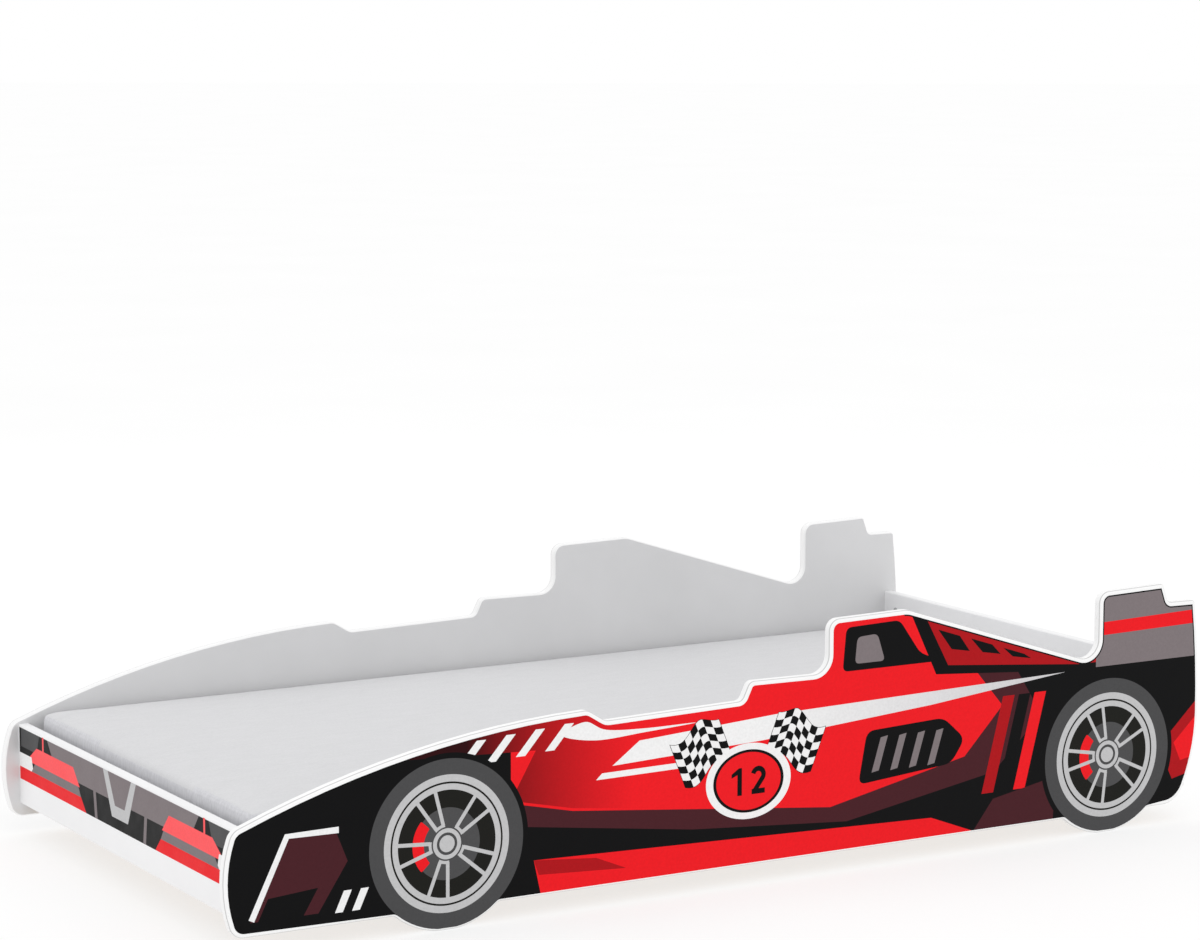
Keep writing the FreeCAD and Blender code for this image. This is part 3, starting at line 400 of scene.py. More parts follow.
def smooth(points, count=8):
    """A closed curve through points."""
    out = []
    total = len(points)
    for i in range(total):
        p0, p1, p2, p3 = (points[(i + k) % total] for k in (-1, 0, 1, 2))
        for step in range(count):
            t = step / count
            out.append(tuple(
                0.5 * (2 * b + (c - a) * t + (2 * a - 5 * b + 4 * c - d) * t ** 2
                       + (3 * b - a - 3 * c + d) * t ** 3)
                for a, b, c, d in zip(p0, p1, p2, p3)))
    return out


def rounded(points, radius, count=5):
    """A polygon with each corner cut to a smooth curve that starts a radius before it."""
    out = []
    for before, corner, after in zip(points[-1:] + points[:-1], points,
                                     points[1:] + points[:1]):
        here = Vector(corner)
        arm_a, arm_b = Vector(before) - here, Vector(after) - here
        a = here + arm_a.normalized() * min(radius, arm_a.length / 2)
        b = here + arm_b.normalized() * min(radius, arm_b.length / 2)
        for step in range(count + 1):
            t = step / count
            out.append(tuple(a * (1 - t) ** 2 + here * 2 * t * (1 - t) + b * t ** 2))
    return out


def stroke(points, width):
    """A band of a width along a line of points."""
    left, right = [], []
    for i, point in enumerate(points):
        a = Vector(points[max(i - 1, 0)])
        b = Vector(points[min(i + 1, len(points) - 1)])
        ahead = (b - a).normalized()
        aside = Vector((-ahead.y, ahead.x)) * (width / 2)
        left.append(tuple(Vector(point) + aside))
        right.append(tuple(Vector(point) - aside))
    return left + right[::-1]


def bar(start, end, width, lean):
    """A straight band between two points; its ends lean along X by lean."""
    (x0, z0), (x1, z1) = start, end
    return [(x0 - lean / 2, z0 - width / 2), (x1 - lean / 2, z1 - width / 2),
            (x1 + lean / 2, z1 + width / 2), (x0 + lean / 2, z0 + width / 2)]


def drawn_in(loop, distance_at):
    """A loop drawn in all round, at each corner by the distance that distance_at gives."""
    turn = 1 if signed_area(loop) > 0 else -1
    out = []
    for before, here, after in zip(loop[-1:] + loop[:-1], loop, loop[1:] + loop[:1]):
        come = (Vector(here) - Vector(before)).normalized()
        leave = (Vector(after) - Vector(here)).normalized()
        first = Vector((-come.y, come.x)) * turn
        mean = (first + Vector((-leave.y, leave.x)) * turn).normalized()
        out.append(tuple(Vector(here)
                         + mean * (distance_at(here) / max(0.5, mean.dot(first)))))
    return out


def printed_skin(name, outline, areas, to_space):
    """One flat mesh over an outline, cut along the edges of the areas painted on it. An
    area is an ink and a polygon that doesn't cross itself, and a later one covers an
    earlier one."""
    points, faces = [], []
    for polygon in [outline] + [polygon for paint, polygon in areas]:
        polygon = polygon if signed_area(polygon) > 0 else polygon[::-1]
        faces.append(list(range(len(points), len(points) + len(polygon))))
        points += [Vector(p) for p in polygon]
    made, _, triangles, _, _, owners = delaunay_2d_cdt(points, [], faces, 1, 1e-7, True)
    paints = list(dict.fromkeys(paint for paint, polygon in areas))
    kept, painted = [], []
    for triangle, owner in zip(triangles, owners):
        if 0 not in owner or len(owner) < 2:
            continue
        kept.append(list(triangle))
        painted.append(paints.index(areas[max(owner) - 1][0]))
    used = sorted({corner for triangle in kept for corner in triangle})
    number = {corner: i for i, corner in enumerate(used)}
    places = [to_space(*made[corner]) for corner in used]
    triangles = [[number[corner] for corner in triangle] for triangle in kept]
    return mesh_piece(name, places, triangles, paints, "bed", painted)


# ---------------------------------------------------------------- wheels on the print

WHEEL_RADIUS = 0.124         # the boards' bulge round each printed wheel
WHEEL_FLAT = 0.030           # on which the bed stands
HUB_HEIGHT = math.sqrt(WHEEL_RADIUS ** 2 - (WHEEL_FLAT / 2) ** 2)
TYRE_RADIUS = 0.1208
RIM_RADIUS = 0.0982
SPOKES = 5                   # each a pair of lines
FIRST_SPOKE = 115            # degrees
SPOKE_SPREAD = 11.5          # degrees from the middle of a pair to each of its lines
CALIPER = (138, 222)         # degrees from its one end to its other
REAR_TURN = -6               # degrees by which the rear wheel is turned further


def wheel_areas(centre, turn):
    """A road wheel in flat colours: tyre, stepped rim, brake, twin spokes and hub."""
    def at(share):
        return RIM_RADIUS * share

    def polar(share, degrees):
        angle = math.radians(degrees)
        return (centre[0] + at(share) * math.cos(angle),
                centre[1] + at(share) * math.sin(angle))

    areas = [(TYRE_GREY, circle(centre, TYRE_RADIUS, 160)),
             (RIM_GREY, circle(centre, at(1.0), 128)),
             (WELL_BLACK, circle(centre, at(0.896), 128)),
             (RIM_GREY, circle(centre, at(0.868), 128)),
             (WELL_BLACK, circle(centre, at(0.780), 128)),
             (DISC_GREY, circle(centre, at(0.525), 96)),
             (RED, rounded(sector(centre, at(0.37), at(0.55), *CALIPER), 0.003, 2))]
    for spoke in range(SPOKES):
        middle = FIRST_SPOKE + turn + 360 / SPOKES * spoke
        arms = [stroke([polar(0.80, middle + side * SPOKE_SPREAD),
                        polar(0.27, middle + side * SPOKE_SPREAD * 1.12)], at(0.056))
                for side in (-1, 1)]
        bridge = stroke([polar(0.275, middle - SPOKE_SPREAD * 1.5),
                         polar(0.275, middle + SPOKE_SPREAD * 1.5)], at(0.06))
        areas += [(RIM_GREY, bridge)] + [(RIM_GREY, arm) for arm in arms]
    areas += [(TYRE_GREY, circle(centre, at(0.248), 64)),
              (RIM_GREY, circle(centre, at(0.225), 64)),
              (TYRE_GREY, circle(centre, at(0.163), 48)),
              (RIM_GREY, circle(centre, at(0.122), 48))]
    return areas


# ---------------------------------------------------------------- badge with flags

BADGE = (-0.004, 0.156)
BADGE_REACH = (0.0735, 0.0565)       # half its width and half its height
FLAG_CHECKS = (7, 6)
FLAG_SIZE = (0.088, 0.070)
FLAG_FOOT = (0.026, 0.032)           # from the badge's middle, out and up
FLAG_LEAN = 22                       # degrees
FLAG_DROOP = 15
FLAG_HEM = 0.07                      # its dark edge, as a share of a check
DIGIT_HEIGHT = 0.041
DIGIT_STROKE = 0.0078


def flag(side):
    """A waving chequered flag beside the badge: its staff side leans out, and it flies
    outwards and down."""
    foot = (BADGE[0] + side * FLAG_FOOT[0], BADGE[1] + FLAG_FOOT[1])
    lean, droop = math.radians(FLAG_LEAN), math.radians(FLAG_DROOP)
    up = Vector((side * math.sin(lean), math.cos(lean)))
    out = Vector((side * math.cos(droop), -math.sin(droop)))
    columns, rows = FLAG_CHECKS
    length, height = FLAG_SIZE

    def spot(column, row):
        share = column / columns
        wave = 0.0115 * math.sin(share * 5.6) * min(1.0, share * 3)
        return tuple(Vector(foot) + out * (share * length)
                     + up * (row / rows * height + wave))

    def patch(c0, c1, r0, r1, steps=4):
        across = [c0 + (c1 - c0) * i / steps for i in range(steps + 1)]
        return [spot(c, r0) for c in across] + [spot(c, r1) for c in across[::-1]]

    areas = [(BLACK, patch(-FLAG_HEM, columns + FLAG_HEM, -FLAG_HEM, rows + FLAG_HEM, 36))]
    areas += [(WHITE, patch(column, column + 1, row, row + 1))
              for column in range(columns) for row in range(rows) if (column + row) % 2]
    return areas


def oval(share, count=96):
    """The badge's rim, or one inside it that is a share as large."""
    return [(BADGE[0] + BADGE_REACH[0] * share * math.cos(2 * math.pi * i / count),
             BADGE[1] + BADGE_REACH[1] * share * math.sin(2 * math.pi * i / count))
            for i in range(count)]


def digit_areas(centre, reads_along):
    """The number 12 in plain strokes. reads_along is 1 if it reads towards +X."""
    high, wide = DIGIT_HEIGHT, DIGIT_HEIGHT * 0.56
    gap = DIGIT_HEIGHT * 0.20

    def place(points, left):
        return [(centre[0] + reads_along * (left + x), centre[1] + z - high / 2)
                for x, z in points]

    stem = wide * 0.62
    one = place([(stem, 0), (stem, high), (stem - DIGIT_STROKE * 0.7, high),
                 (stem - DIGIT_STROKE * 2.3, high * 0.80),
                 (stem - DIGIT_STROKE * 2.3, high * 0.66),
                 (stem - DIGIT_STROKE, high * 0.76), (stem - DIGIT_STROKE, 0)],
                -wide - gap * 0.35)
    bowl = high * 0.29
    arc = ring_part((wide / 2, high - bowl - DIGIT_STROKE * 0.1), bowl - DIGIT_STROKE * 0.35,
                    165, -35, 16)
    two = place(stroke(arc + [(DIGIT_STROKE * 0.6, DIGIT_STROKE * 0.55)], DIGIT_STROKE),
                gap * 0.65)
    foot = place([(0, 0), (wide, 0), (wide, DIGIT_STROKE), (0, DIGIT_STROKE)], gap * 0.65)
    return [(BLACK, one), (BLACK, two), (BLACK, foot)]


def badge_areas(reads_along):
    rings = [(WHITE, oval(1.0)), (BLACK, oval(0.83)), (RED, oval(0.76))]
    return flag(-1) + flag(1) + rings + digit_areas(BADGE, reads_along)


# ---------------------------------------------------------------- the side boards' print

INK_PROUD = 0.00015          # how far a printed skin stands off its board
PRINT_MARGIN = 0.0036        # bare rim between the board's bevel and the print
WHEEL_MARGIN = 0.0007        # the same round a wheel
WHEEL_FOOT = 0.12            # height up to which the wheels' margin holds
KEYLINE = 0.0022
KEYLINE_START = (0.262, 0.215)       # it runs only behind this x and above this z
FLAT_REACH = 0.0045          # an outline's points this near to the floor are on a flat
FENDER_LOUVRES = 4
POD_SLOTS = 4


def body_areas():
    """The body, as one wedge that rises to the engine cover."""
    return [
        (MAROON, [(-0.40, 0.135), (-0.10, 0.095), (0.17, 0.075), (0.44, 0.120), (0.53, 0.200),
                  (0.40, 0.40), (-0.40, 0.40)]),
        (RED, [(-0.40, 0.168), (-0.30, 0.146), (0.14, 0.100), (0.385, 0.150), (0.455, 0.222),
               (0.30, 0.40), (-0.40, 0.40)]),
        (FENDER_RED, [(-0.56, 0.248), (-0.36, 0.240), (-0.40, 0.172), (-0.30, 0.150),
                      (-0.16, 0.134), (-0.20, 0.40), (-0.56, 0.40)]),
    ]


def sill_areas(front, rear):
    """The sill between the wheels, from front to rear."""
    return [
        (RED, [(front, 0.028), (rear - 0.10, 0.028), (rear - 0.19, 0.062),
               (front - 0.012, 0.082)]),
        (DEEP_RED, [(front - 0.012, 0.082), (front - 0.004, 0.060), (front + 0.14, 0.052),
                    (front + 0.09, 0.073)]),
    ]


def flank_areas():
    """Long bands that taper to the tail."""
    return [
        (PEARL, [(-0.235, 0.204), (-0.190, 0.236), (0.05, 0.251), (0.575, 0.262),
                 (0.32, 0.236), (0.02, 0.214)]),
        (WHITE, [(-0.262, 0.186), (-0.252, 0.195), (0.010, 0.198), (-0.02, 0.189)]),
    ]


def fender_areas():
    """Louvres in the fender, and a white blade behind them."""
    areas = []
    for step in range(FENDER_LOUVRES):
        foot, level = -0.470 + 0.047 * step, 0.246 + 0.003 * step
        areas.append((WHITE, bar((foot, level), (foot + 0.015, level), 0.036, 0.032)))
    blade = smooth([(-0.318, 0.257), (-0.280, 0.2725), (-0.245, 0.2575), (-0.180, 0.2530),
                    (-0.095, 0.2525), (-0.180, 0.2475), (-0.262, 0.2440)])
    return areas + [(WHITE, blade)]


def cockpit_areas():
    """The cockpit's window and the engine cover with its three vents."""
    return [
        (BLACK, rounded([(0.160, 0.302), (0.166, 0.368), (0.262, 0.371), (0.300, 0.318),
                         (0.340, 0.302)], 0.010)),
        (WING_GREY, rounded([(0.182, 0.312), (0.186, 0.352), (0.222, 0.354), (0.236, 0.312)],
                            0.008)),
        (BLACK, [(0.272, 0.40), (0.330, 0.282), (0.66, 0.258), (0.66, 0.40)]),
        (DEEP_RED, [(0.302, 0.385), (0.352, 0.294), (0.600, 0.272), (0.640, 0.272),
                    (0.640, 0.40)]),
        (BLACK, [(0.333, 0.350), (0.373, 0.337), (0.392, 0.312), (0.358, 0.318)]),
        (BLACK, [(0.394, 0.331), (0.434, 0.318), (0.450, 0.302), (0.416, 0.308)]),
        (BLACK, [(0.455, 0.311), (0.495, 0.298), (0.508, 0.290), (0.473, 0.296)]),
    ]


def pod_areas():
    """The side pod's intake with its slots, and three bars ahead of the rear wheel."""
    areas = [(BLACK, rounded([(0.190, 0.128), (0.205, 0.208), (0.345, 0.214),
                              (0.385, 0.178), (0.36, 0.142)], 0.014))]
    for step in range(POD_SLOTS):
        left = 0.222 + 0.034 * step
        areas.append((WING_GREY, bar((left, 0.170), (left + 0.013, 0.172), 0.052, 0.016)))
    for step, paint in enumerate((DEEP_RED, BLACK, RED)):
        foot = 0.418 + 0.030 * step
        areas.append((paint, [(foot, 0.088), (foot + 0.022, 0.088), (foot + 0.060, 0.236),
                              (foot + 0.038, 0.236)]))
    return areas


def side_nose_areas():
    """The headlamp and two short strokes behind it."""
    areas = [
        (MAROON, [(-0.802, 0.050), (-0.700, 0.050), (-0.655, 0.118), (-0.672, 0.160),
                  (-0.752, 0.160)]),
        (BLACK, [(-0.790, 0.050), (-0.722, 0.050), (-0.700, 0.086), (-0.775, 0.080)]),
        (WHITE, stroke([(-0.800, 0.052), (-0.746, 0.163), (-0.668, 0.163)], 0.009)),
    ]
    for step in range(2):
        left = -0.668 + 0.026 * step
        areas.append((WHITE, bar((left, 0.062), (left + 0.012, 0.062), 0.030, 0.014)))
    return areas


def tail_areas():
    """The tail, the sill's end and the rear wing."""
    return [
        (DEEP_RED, [(0.762, 0.125), (0.86, 0.215), (0.86, 0.085), (0.790, 0.070)]),
        (RED, [(0.792, 0.128), (0.86, 0.190), (0.86, 0.108), (0.806, 0.098)]),
        (MAROON, [(0.40, 0.028), (0.555, 0.028), (0.560, 0.100), (0.44, 0.078)]),
        (WING_GREY, [(0.634, 0.262), (0.90, 0.262), (0.90, 0.50), (0.634, 0.50)]),
        (BLACK, [(0.60, 0.256), (0.90, 0.256), (0.90, 0.264), (0.60, 0.264)]),
        (RED, [(0.60, 0.312), (0.90, 0.318), (0.90, 0.340), (0.60, 0.332)]),
    ]


def livery(hubs, reads_along):
    """A plain racing livery: a red wedge of a body over black, with straight bands."""
    front, rear = hubs
    areas = [(BLACK, [(-1, -1), (1, -1), (1, 1), (-1, 1)])]
    areas += body_areas() + sill_areas(front[0] + 0.150, rear[0] - 0.145) + flank_areas()
    areas += fender_areas() + cockpit_areas() + pod_areas() + side_nose_areas() + tail_areas()
    for hub, turn in ((front, 0), (rear, REAR_TURN)):
        areas.append((BLACK, circle(hub, TYRE_RADIUS + 0.008, 160)))
        areas += wheel_areas(hub, turn)
    return areas + badge_areas(reads_along)


def hubs_of(outline):
    """The wheels' hubs, over the middle of each flat that an outline stands on."""
    floor = min(z for x, z in outline)
    hubs = []
    for sign in (-1, 1):
        flat = [x for x, z in outline if z < floor + FLAT_REACH and x * sign > 0]
        hubs.append(((min(flat) + max(flat)) / 2, HUB_HEIGHT))
    return hubs


def keyline_areas(outline):
    """A thin dark line along the print's edge, over the engine cover and the wing, as
    one area for each stretch of it."""
    foot = min(range(len(outline)), key=lambda i: outline[i][1])
    outer = outline[foot:] + outline[:foot]
    inner = drawn_in(outer, lambda point: KEYLINE)
    areas = []
    for a, b, c, d in zip(outer, outer[1:], inner[1:], inner):
        kept = min(a[0], b[0]) > KEYLINE_START[0] and min(a[1], b[1]) > KEYLINE_START[1]
        # a corner tighter than the line is wide would turn its stretch over
        if kept and (Vector(b) - Vector(a)).dot(Vector(c) - Vector(d)) > 0:
            areas.append((BLACK, [a, b, c, d]))
    return areas


for side_name, side in (("near", -1), ("far", 1)):
    panel = "side_panel_" + side_name
    low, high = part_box(panel)
    face_y = low.y if side < 0 else high.y
    rim = face_outline(panel, 1, face_y)
    hubs = hubs_of(rim)

    def margin_at(point):
        on_wheel = any(math.dist(point, hub) < WHEEL_RADIUS + 0.004 for hub in hubs)
        return WHEEL_MARGIN if on_wheel and point[1] < WHEEL_FOOT else PRINT_MARGIN

    outline = drawn_in(rim, margin_at)
    printed_skin("side_print_" + side_name, outline,
                 livery(hubs, -side) + keyline_areas(outline),
                 lambda x, z, y=face_y + side * INK_PROUD: (x, y, z))

# ---------------------------------------------------------------- the nose board's print

PRINT_FOOT = 0.040           # height of the bare white band under the nose board's print
PRINT_TOP = 0.004            # and of the one over it


def nose_areas(low, high):
    """Flat colours across the nose, the same to both sides of the middle."""
    foot, top = low.z + PRINT_FOOT, high.z - PRINT_TOP

    def across(low_half, low_z, high_half):
        """A trapezium about the middle, from a half width at low_z to one at the top."""
        return [(-low_half, low_z), (low_half, low_z), (high_half, top), (-high_half, top)]

    areas = [(BLACK, across(0.402, foot, 0.402)),
             (WING_GREY, across(0.250, foot + 0.040, 0.285))]
    areas += [(DISC_GREY, [(side * 0.395, foot + 0.052), (side * 0.330, foot + 0.052),
                           (side * 0.318, top), (side * 0.395, top)]) for side in (-1, 1)]
    for side in (-1, 1):
        headlamp = [
            (CORAL, [(0.155, 0.034), (0.180, 0.060), (0.330, 0.060), (0.372, 0.034)]),
            (WHITE, [(0.345, 0.020), (0.352, 0.042), (0.402, 0.042), (0.402, 0.020)]),
            (WING_GREY, [(0.150, 0.020), (0.160, 0.034), (0.338, 0.034), (0.352, 0.020)]),
            (RED, [(0.130, 0.000), (0.150, 0.020), (0.402, 0.020), (0.402, 0.000)]),
            (WING_GREY, [(0.086, 0.0), (0.096, 0.0), (0.104, 0.060), (0.094, 0.060)]),
            (CORAL, [(0.300, 0.060), (0.306, 0.060), (0.306, 0.082), (0.300, 0.082)]),
        ]
        areas += [(paint, [(side * y, foot + z) for y, z in points])
                  for paint, points in headlamp]
    return areas + [(RIM_GREY, across(0.030, foot + 0.016, 0.062)),
                    (WING_GREY, across(0.018, foot + 0.034, 0.044))]


low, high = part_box("front_panel")
rim = face_outline("front_panel", 0, low.x)
printed_skin("nose_print", rim, nose_areas(low, high),
             lambda y, z, x=low.x - INK_PROUD: (x, y, z))

# ---------------------------------------------------------------- mattress

SIDE_DRAW = 0.003            # how far the long sides pull in between the corners
END_DRAW = 0.0015
CROWN = 0.003
COVER_EDGE = 0.011           # roundings of the cover's rims and of its upright corners
COVER_CORNER = 0.024
COVER_CLOTH = 0.003
FOAM_EDGE = 0.008
FOAM_CORNER = 0.020
SEAM_RADIUS = 0.0011
VOXEL = 0.011                # remesh size of the cover before its cloth simulation
CLOTH_FRAMES = 16
CLOTH_PRESSURE = 4.0
CLOTH_CAP = 0.004            # how far the simulated cloth may leave its start
ROOM_BELOW = (0.002, 0.0018, 0.0)    # how far it may leave its CAD box, by corner
ROOM_ABOVE = (0.0004, 0.0018, 0.002)


def boxes_of(names):
    """The lowest and the highest corner of CAD nodes together."""
    lows, highs = zip(*(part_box(name) for name in names))
    return (Vector(min(c[i] for c in lows) for i in range(3)),
            Vector(max(c[i] for c in highs) for i in range(3)))


def apply_modifiers(piece):
    data = evaluated_mesh(piece)
    piece.modifiers.clear()
    piece.data = data


def padded_block(name, low, high, edge, corner):
    """A block with soft edges."""
    mesh = bmesh.new()
    bmesh.ops.create_cube(mesh, size=1.0)
    size, middle = high - low, (high + low) / 2
    bmesh.ops.scale(mesh, vec=size, verts=mesh.verts)
    bmesh.ops.translate(mesh, vec=middle, verts=mesh.verts)
    for upright, offset, segments in ((True, corner, 6), (False, edge, 4)):
        edges = [e for e in mesh.edges
                 if (abs(e.verts[0].co.z - e.verts[1].co.z) > size.z / 2) == upright]
        bmesh.ops.bevel(mesh, geom=edges, offset=offset, segments=segments, profile=0.5,
                        affect="EDGES")
    return placed(name, as_mesh(name, mesh))


def swell(piece, low, high):
    """Lets the cloth belly out under the foam's pressure, and holds it near its start,
    outside the foam and inside the room from low to high."""
    cloth = piece.modifiers.new("Cloth", "CLOTH")
    cloth.settings.use_pressure = True
    cloth.settings.uniform_pressure_force = CLOTH_PRESSURE
    cloth.settings.effector_weights.gravity = 0.0
    start = [(v.co.copy(), v.normal.copy()) for v in piece.data.vertices]
    for step in range(1, CLOTH_FRAMES + 1):
        bpy.context.scene.frame_set(step)
    apply_modifiers(piece)
    bpy.context.scene.frame_set(1)
    for vertex, (old, normal) in zip(piece.data.vertices, start):
        move = vertex.co - old
        move -= normal * min(0.0, move.dot(normal))
        if move.length > CLOTH_CAP:
            move = move.normalized() * CLOTH_CAP
        vertex.co = [min(max(c, a), b) for c, a, b in zip(old + move, low, high)]


def belly(piece, low, high, side_draw, end_draw, crown):
    """Draws a block's sides in between its corners and raises a crown on its top."""
    middle, half = (low + high) / 2, (high - low) / 2
    for vertex in piece.data.vertices:
        u = (vertex.co.x - middle.x) / half.x
        v = (vertex.co.y - middle.y) / half.y
        up = max(0.0, (vertex.co.z - middle.z) / half.z)
        vertex.co.y -= v * side_draw * max(0.0, 1 - u * u)
        vertex.co.x -= u * end_draw * max(0.0, 1 - v * v)
        vertex.co.z += crown * up * max(0.0, 1 - u ** 4) * max(0.0, 1 - v ** 4)


cover_low, cover_high = boxes_of(["cover_top", "cover_bottom"])
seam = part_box("cover_top")[0].z
room = Vector((CLOTH_CAP / 2, CLOTH_CAP / 2, 0))
block_low = cover_low + room
block_high = cover_high - room - Vector((0, 0, CROWN + CLOTH_CAP / 2))
cover = padded_block("mattress_cover", block_low, block_high, COVER_EDGE, COVER_CORNER)
remesh = cover.modifiers.new("Remesh", "REMESH")
remesh.mode = "VOXEL"
remesh.voxel_size = VOXEL
apply_modifiers(cover)
belly(cover, block_low, block_high, SIDE_DRAW, END_DRAW, CROWN)
swell(cover, cover_low - Vector(ROOM_BELOW), cover_high + Vector(ROOM_ABOVE))


cover_middle = (cover_low + cover_high) / 2


def cut_at_seam(**clear):
    """The cover as a BMesh cut at the seam, and the edges and points of the cut."""
    mesh = bmesh.new()
    mesh.from_mesh(cover.data)
    cut = bmesh.ops.bisect_plane(
        mesh, geom=mesh.verts[:] + mesh.edges[:] + mesh.faces[:], dist=1e-6,
        plane_co=(0, 0, seam), plane_no=(0, 0, 1), **clear)
    return mesh, cut["geom_cut"]


def cover_part(name, lower, node):
    """The cover's cloth above or below the seam: smooth, with its rim turned in."""
    mesh, cut = cut_at_seam(clear_outer=lower, clear_inner=not lower)
    rim = [e for e in cut if isinstance(e, bmesh.types.BMEdge)]
    turned = bmesh.ops.extrude_edge_only(mesh, edges=rim)
    for item in turned["geom"]:
        if isinstance(item, bmesh.types.BMVert):
            inward = cover_middle - item.co
            inward.z = 0
            item.co += inward.normalized() * COVER_CLOTH
    bmesh.ops.recalc_face_normals(mesh, faces=mesh.faces)
    data = as_mesh(name, mesh)
    data.materials.append(COVER)
    data.materials.append(COVER_SIDE)
    for polygon in data.polygons:
        polygon.use_smooth = True
        polygon.material_index = 0 if abs(polygon.normal.z) > 0.55 else 1
    piece = placed(name, data)
    smoothing = piece.modifiers.new("Subdivision", "SUBSURF")
    smoothing.levels = smoothing.render_levels = 1
    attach(piece, "mattress")
    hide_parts(node)
    return piece


cover_upper = cover_part("cover_upper", False, "cover_top")
cover_lower = cover_part("cover_lower", True, "cover_bottom")


def seam_line():
    """Points round the mattress on the seam, in order, from the cover's own form."""
    mesh, cut = cut_at_seam()
    spots = [v.co.copy() for v in cut if isinstance(v, bmesh.types.BMVert)]
    mesh.free()
    return sorted(spots, key=lambda p: math.atan2(p.y - cover_middle.y,
                                                  p.x - cover_middle.x))


def tube(name, points, radius, material, body):
    """A closed round cord along points."""
    curve = bpy.data.curves.new(name, "CURVE")
    curve.dimensions = "3D"
    curve.bevel_depth = radius
    curve.bevel_resolution = 2
    spline = curve.splines.new("POLY")
    spline.points.add(len(points) - 1)
    for point, place in zip(spline.points, points):
        point.co = (*place, 1.0)
    spline.use_cyclic_u = True
    held = placed(name, curve)
    data = evaluated_mesh(held)
    bpy.data.objects.remove(held)
    data.name = name
    data.materials.clear()
    data.materials.append(material)
    data.polygons.foreach_set("use_smooth", [True] * len(data.polygons))
    piece = placed(name, data)
    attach(piece, body)
    return piece


tube("cover_seam", seam_line(), SEAM_RADIUS, COVER_SIDE, "mattress")
bpy.data.objects.remove(cover)

foam_low, foam_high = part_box("mattress_core")
foam_room = Vector((COVER_CLOTH,) * 3)
foam_block = padded_block("foam_block", foam_low + foam_room,
                          foam_high - foam_room - Vector((0, 0, CROWN)), FOAM_EDGE,
                          FOAM_CORNER)
belly(foam_block, foam_low, foam_high, SIDE_DRAW, 0.0, 0.0)
foam_block.data.materials.append(FOAM)
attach(foam_block, "mattress")
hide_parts("mattress_core")

# ---------------------------------------------------------------- zip and tapes

SAG = 0.0012                 # how far a tape hangs between two slats
TAPE_STEPS = 240             # along a tape under the slats
ZIP_STEPS = 60
TOOTH_PITCH = 0.0024
TOOTH_FILL = 0.62            # a tooth's width as a share of the pitch
TOOTH_OVERLAP = 0.25         # how far it reaches past the middle, as a share


def strip(name, lines, thickness, material, body, node):
    """A flat tape between two equal lines of points, of a thickness along its normal."""
    count = len(lines[0])
    flat = [p for line in lines for p in line]
    faces = [(i, i + 1, count + i + 1, count + i) for i in range(count - 1)]
    piece = mesh_piece(name, flat, faces, [material], body)
    solid = piece.modifiers.new("Thickness", "SOLIDIFY")
    solid.thickness, solid.offset = thickness, 0.0
    soft = piece.modifiers.new("Edges", "BEVEL")
    soft.width, soft.segments = thickness * 0.4, 2
    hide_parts(node)
    return piece


def spaced(start, end, steps):
    """Equal steps from start to end, both included."""
    return [start + (end - start) * i / steps for i in range(steps + 1)]


def sag_at(x):
    """How far a tape hangs at x: not at all under a slat, and most between two."""
    first, second = (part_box(slat) for slat in slats[:2])
    pitch = second[0].x - first[0].x
    half_slat = (first[1].x - first[0].x) / 2
    away = abs((x - first[0].x - half_slat + pitch / 2) % pitch - pitch / 2)
    free = max(0.0, away - half_slat) / (pitch / 2 - half_slat)
    return SAG * math.sin(free * math.pi / 2) ** 2


for side_name in ("near", "far"):
    node = "webbing_" + side_name
    low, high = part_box(node)
    level = (low.z + high.z) / 2
    xs = spaced(low.x, high.x, TAPE_STEPS)
    heights = [level - sag_at(x) for x in xs]
    strip("tape_" + side_name,
          [[(x, low.y, z) for x, z in zip(xs, heights)],
           [(x, high.y, z) for x, z in zip(xs, heights)]],
          high.z - low.z, TAPE, "bed", node)

low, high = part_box("zip_tape")
tape_x = (low.x + high.x) / 2
ys = spaced(low.y, high.y, ZIP_STEPS)
strip("zip_cloth", [[(tape_x, y, low.z) for y in ys], [(tape_x, y, high.z) for y in ys]],
      high.x - low.x, ZIP_TAPE, "mattress", "zip_tape")


def zip_chain():
    """Two rows of coil turns that mesh, one turn to a tooth."""
    low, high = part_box("zip_teeth")
    middle = (low + high) / 2
    reach = (high.z - low.z) / 2
    overlap = TOOTH_OVERLAP * reach
    mesh = bmesh.new()
    for i in range(int((high.y - low.y) / TOOTH_PITCH)):
        start, end = (-overlap, reach) if i % 2 == 0 else (-reach, overlap)
        made = bmesh.ops.create_cube(mesh, size=1.0)["verts"]
        size = Vector((high.x - low.x, TOOTH_PITCH * TOOTH_FILL, end - start))
        bmesh.ops.scale(mesh, vec=size, verts=made)
        place = Vector((middle.x, low.y + (i + 0.5) * TOOTH_PITCH,
                        middle.z + (start + end) / 2))
        bmesh.ops.translate(mesh, vec=place, verts=made)
    piece = placed("zip_coil", as_mesh("zip_coil", mesh))
    piece.data.materials.append(NYLON)
    soft = piece.modifiers.new("Edges", "BEVEL")
    soft.width, soft.segments = 0.0003, 2
    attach(piece, "mattress")
    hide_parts("zip_teeth")


zip_chain()

# ---------------------------------------------------------------- camera, floor and light

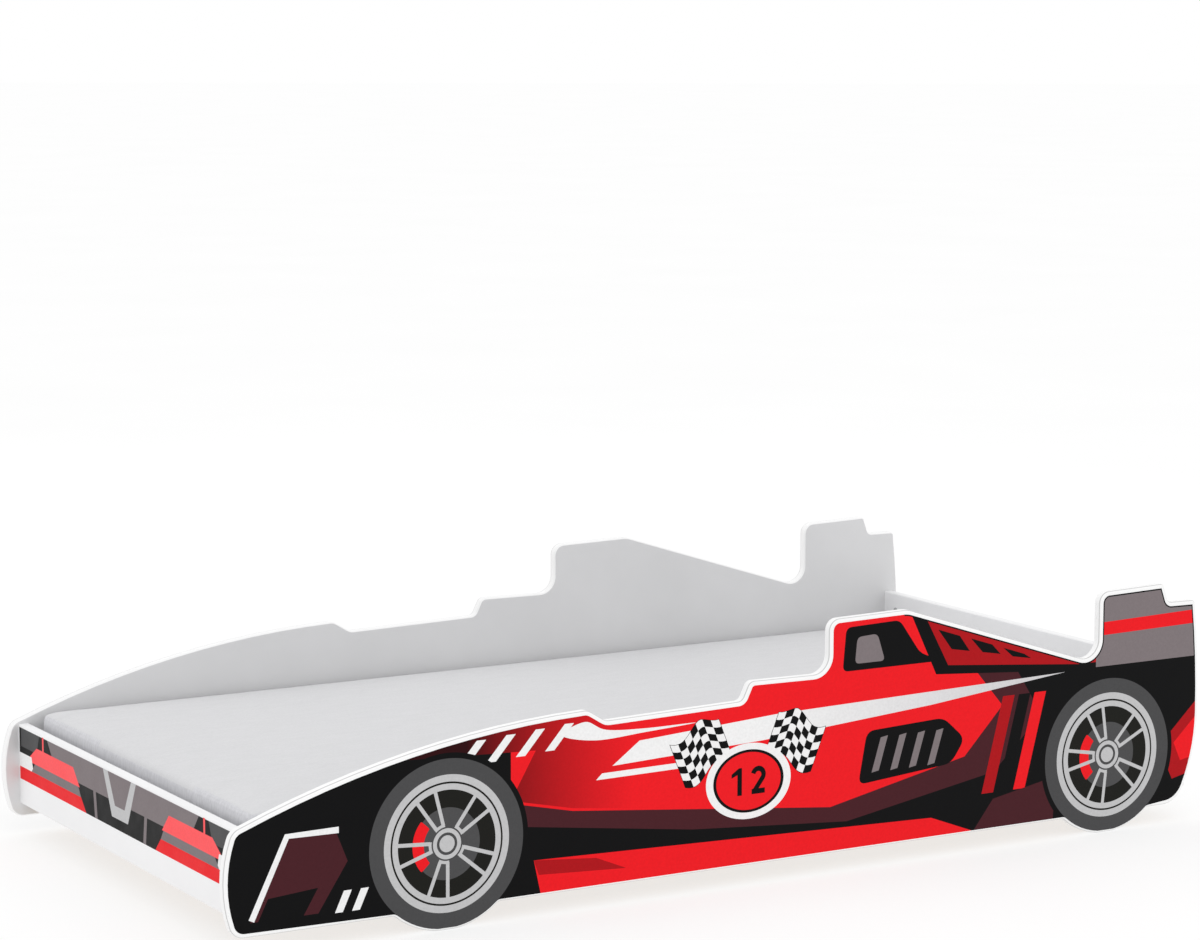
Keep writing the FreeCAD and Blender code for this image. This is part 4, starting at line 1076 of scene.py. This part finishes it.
CAMERA = Vector((-2.67795, -4.5711, 1.2730))
LOOKS_ALONG = Vector((0.4995, 0.8561, -0.1324))
ROLL = math.radians(0.07)
FOCAL_LENGTH = 103.43        # in mm, as the sensor's width
SENSOR_WIDTH = 36.0
FLOOR_REACH = 400.0
FLOOR_GLOW = 0.69            # lifts the pale floor to the white of the photo's ground

scene = bpy.context.scene
camera = placed("camera", bpy.data.cameras.new("camera"))
camera.location = CAMERA
camera.rotation_mode = "QUATERNION"
facing = LOOKS_ALONG.to_track_quat("-Z", "Y").to_matrix()
camera.rotation_quaternion = (facing @ Matrix.Rotation(ROLL, 3, "Z")).to_quaternion()
camera.data.lens = FOCAL_LENGTH
camera.data.sensor_width = SENSOR_WIDTH
camera.data.clip_start, camera.data.clip_end = 0.1, 60.0
scene.camera = camera


LIT_POINT = Vector((0.0, 0.0, 0.15))


def lamp(name, place, size, power):
    """A square area lamp that points at the middle of the bed."""
    light = bpy.data.lights.new(name, "AREA")
    light.shape, light.size, light.energy = "SQUARE", size, power
    held = placed(name, light)
    held.location = place
    held.rotation_mode = "QUATERNION"
    held.rotation_quaternion = (LIT_POINT - Vector(place)).to_track_quat("-Z", "Y")


lamp("key", (-2.2, -3.6, 3.4), 3.0, 18)
lamp("fill", (3.4, -3.0, 2.2), 3.0, 6)
lamp("top", (0.0, 0.6, 4.2), 3.6, 8)
lamp("back", (1.5, 4.0, 2.6), 3.0, 6)

world = bpy.data.worlds.new("studio")
scene.world = world
world.use_nodes = True
sky = world.node_tree.nodes["Background"].inputs
sky["Color"].default_value = grey(1.0)
sky["Strength"].default_value = 1.0
scene.view_settings.view_transform = "Standard"

floor_material = Surface("pale_floor", 0.75, specular=0.0)
cloud = floor_material.noise(1.2)
floor_material.link(floor_material.ramp(cloud, grey(0.295), grey(0.305)), "Base Color")
floor_material.shader.inputs["Emission Color"].default_value = grey(1.0)
floor_material.shader.inputs["Emission Strength"].default_value = FLOOR_GLOW
floor_data = bpy.data.meshes.new("floor")
corners = ((-1, -1), (1, -1), (1, 1), (-1, 1))
floor_data.from_pydata([(x * FLOOR_REACH, y * FLOOR_REACH, 0) for x, y in corners], [],
                       [(0, 1, 2, 3)])
floor_data.materials.append(floor_material.material)
floor = placed("floor", floor_data)
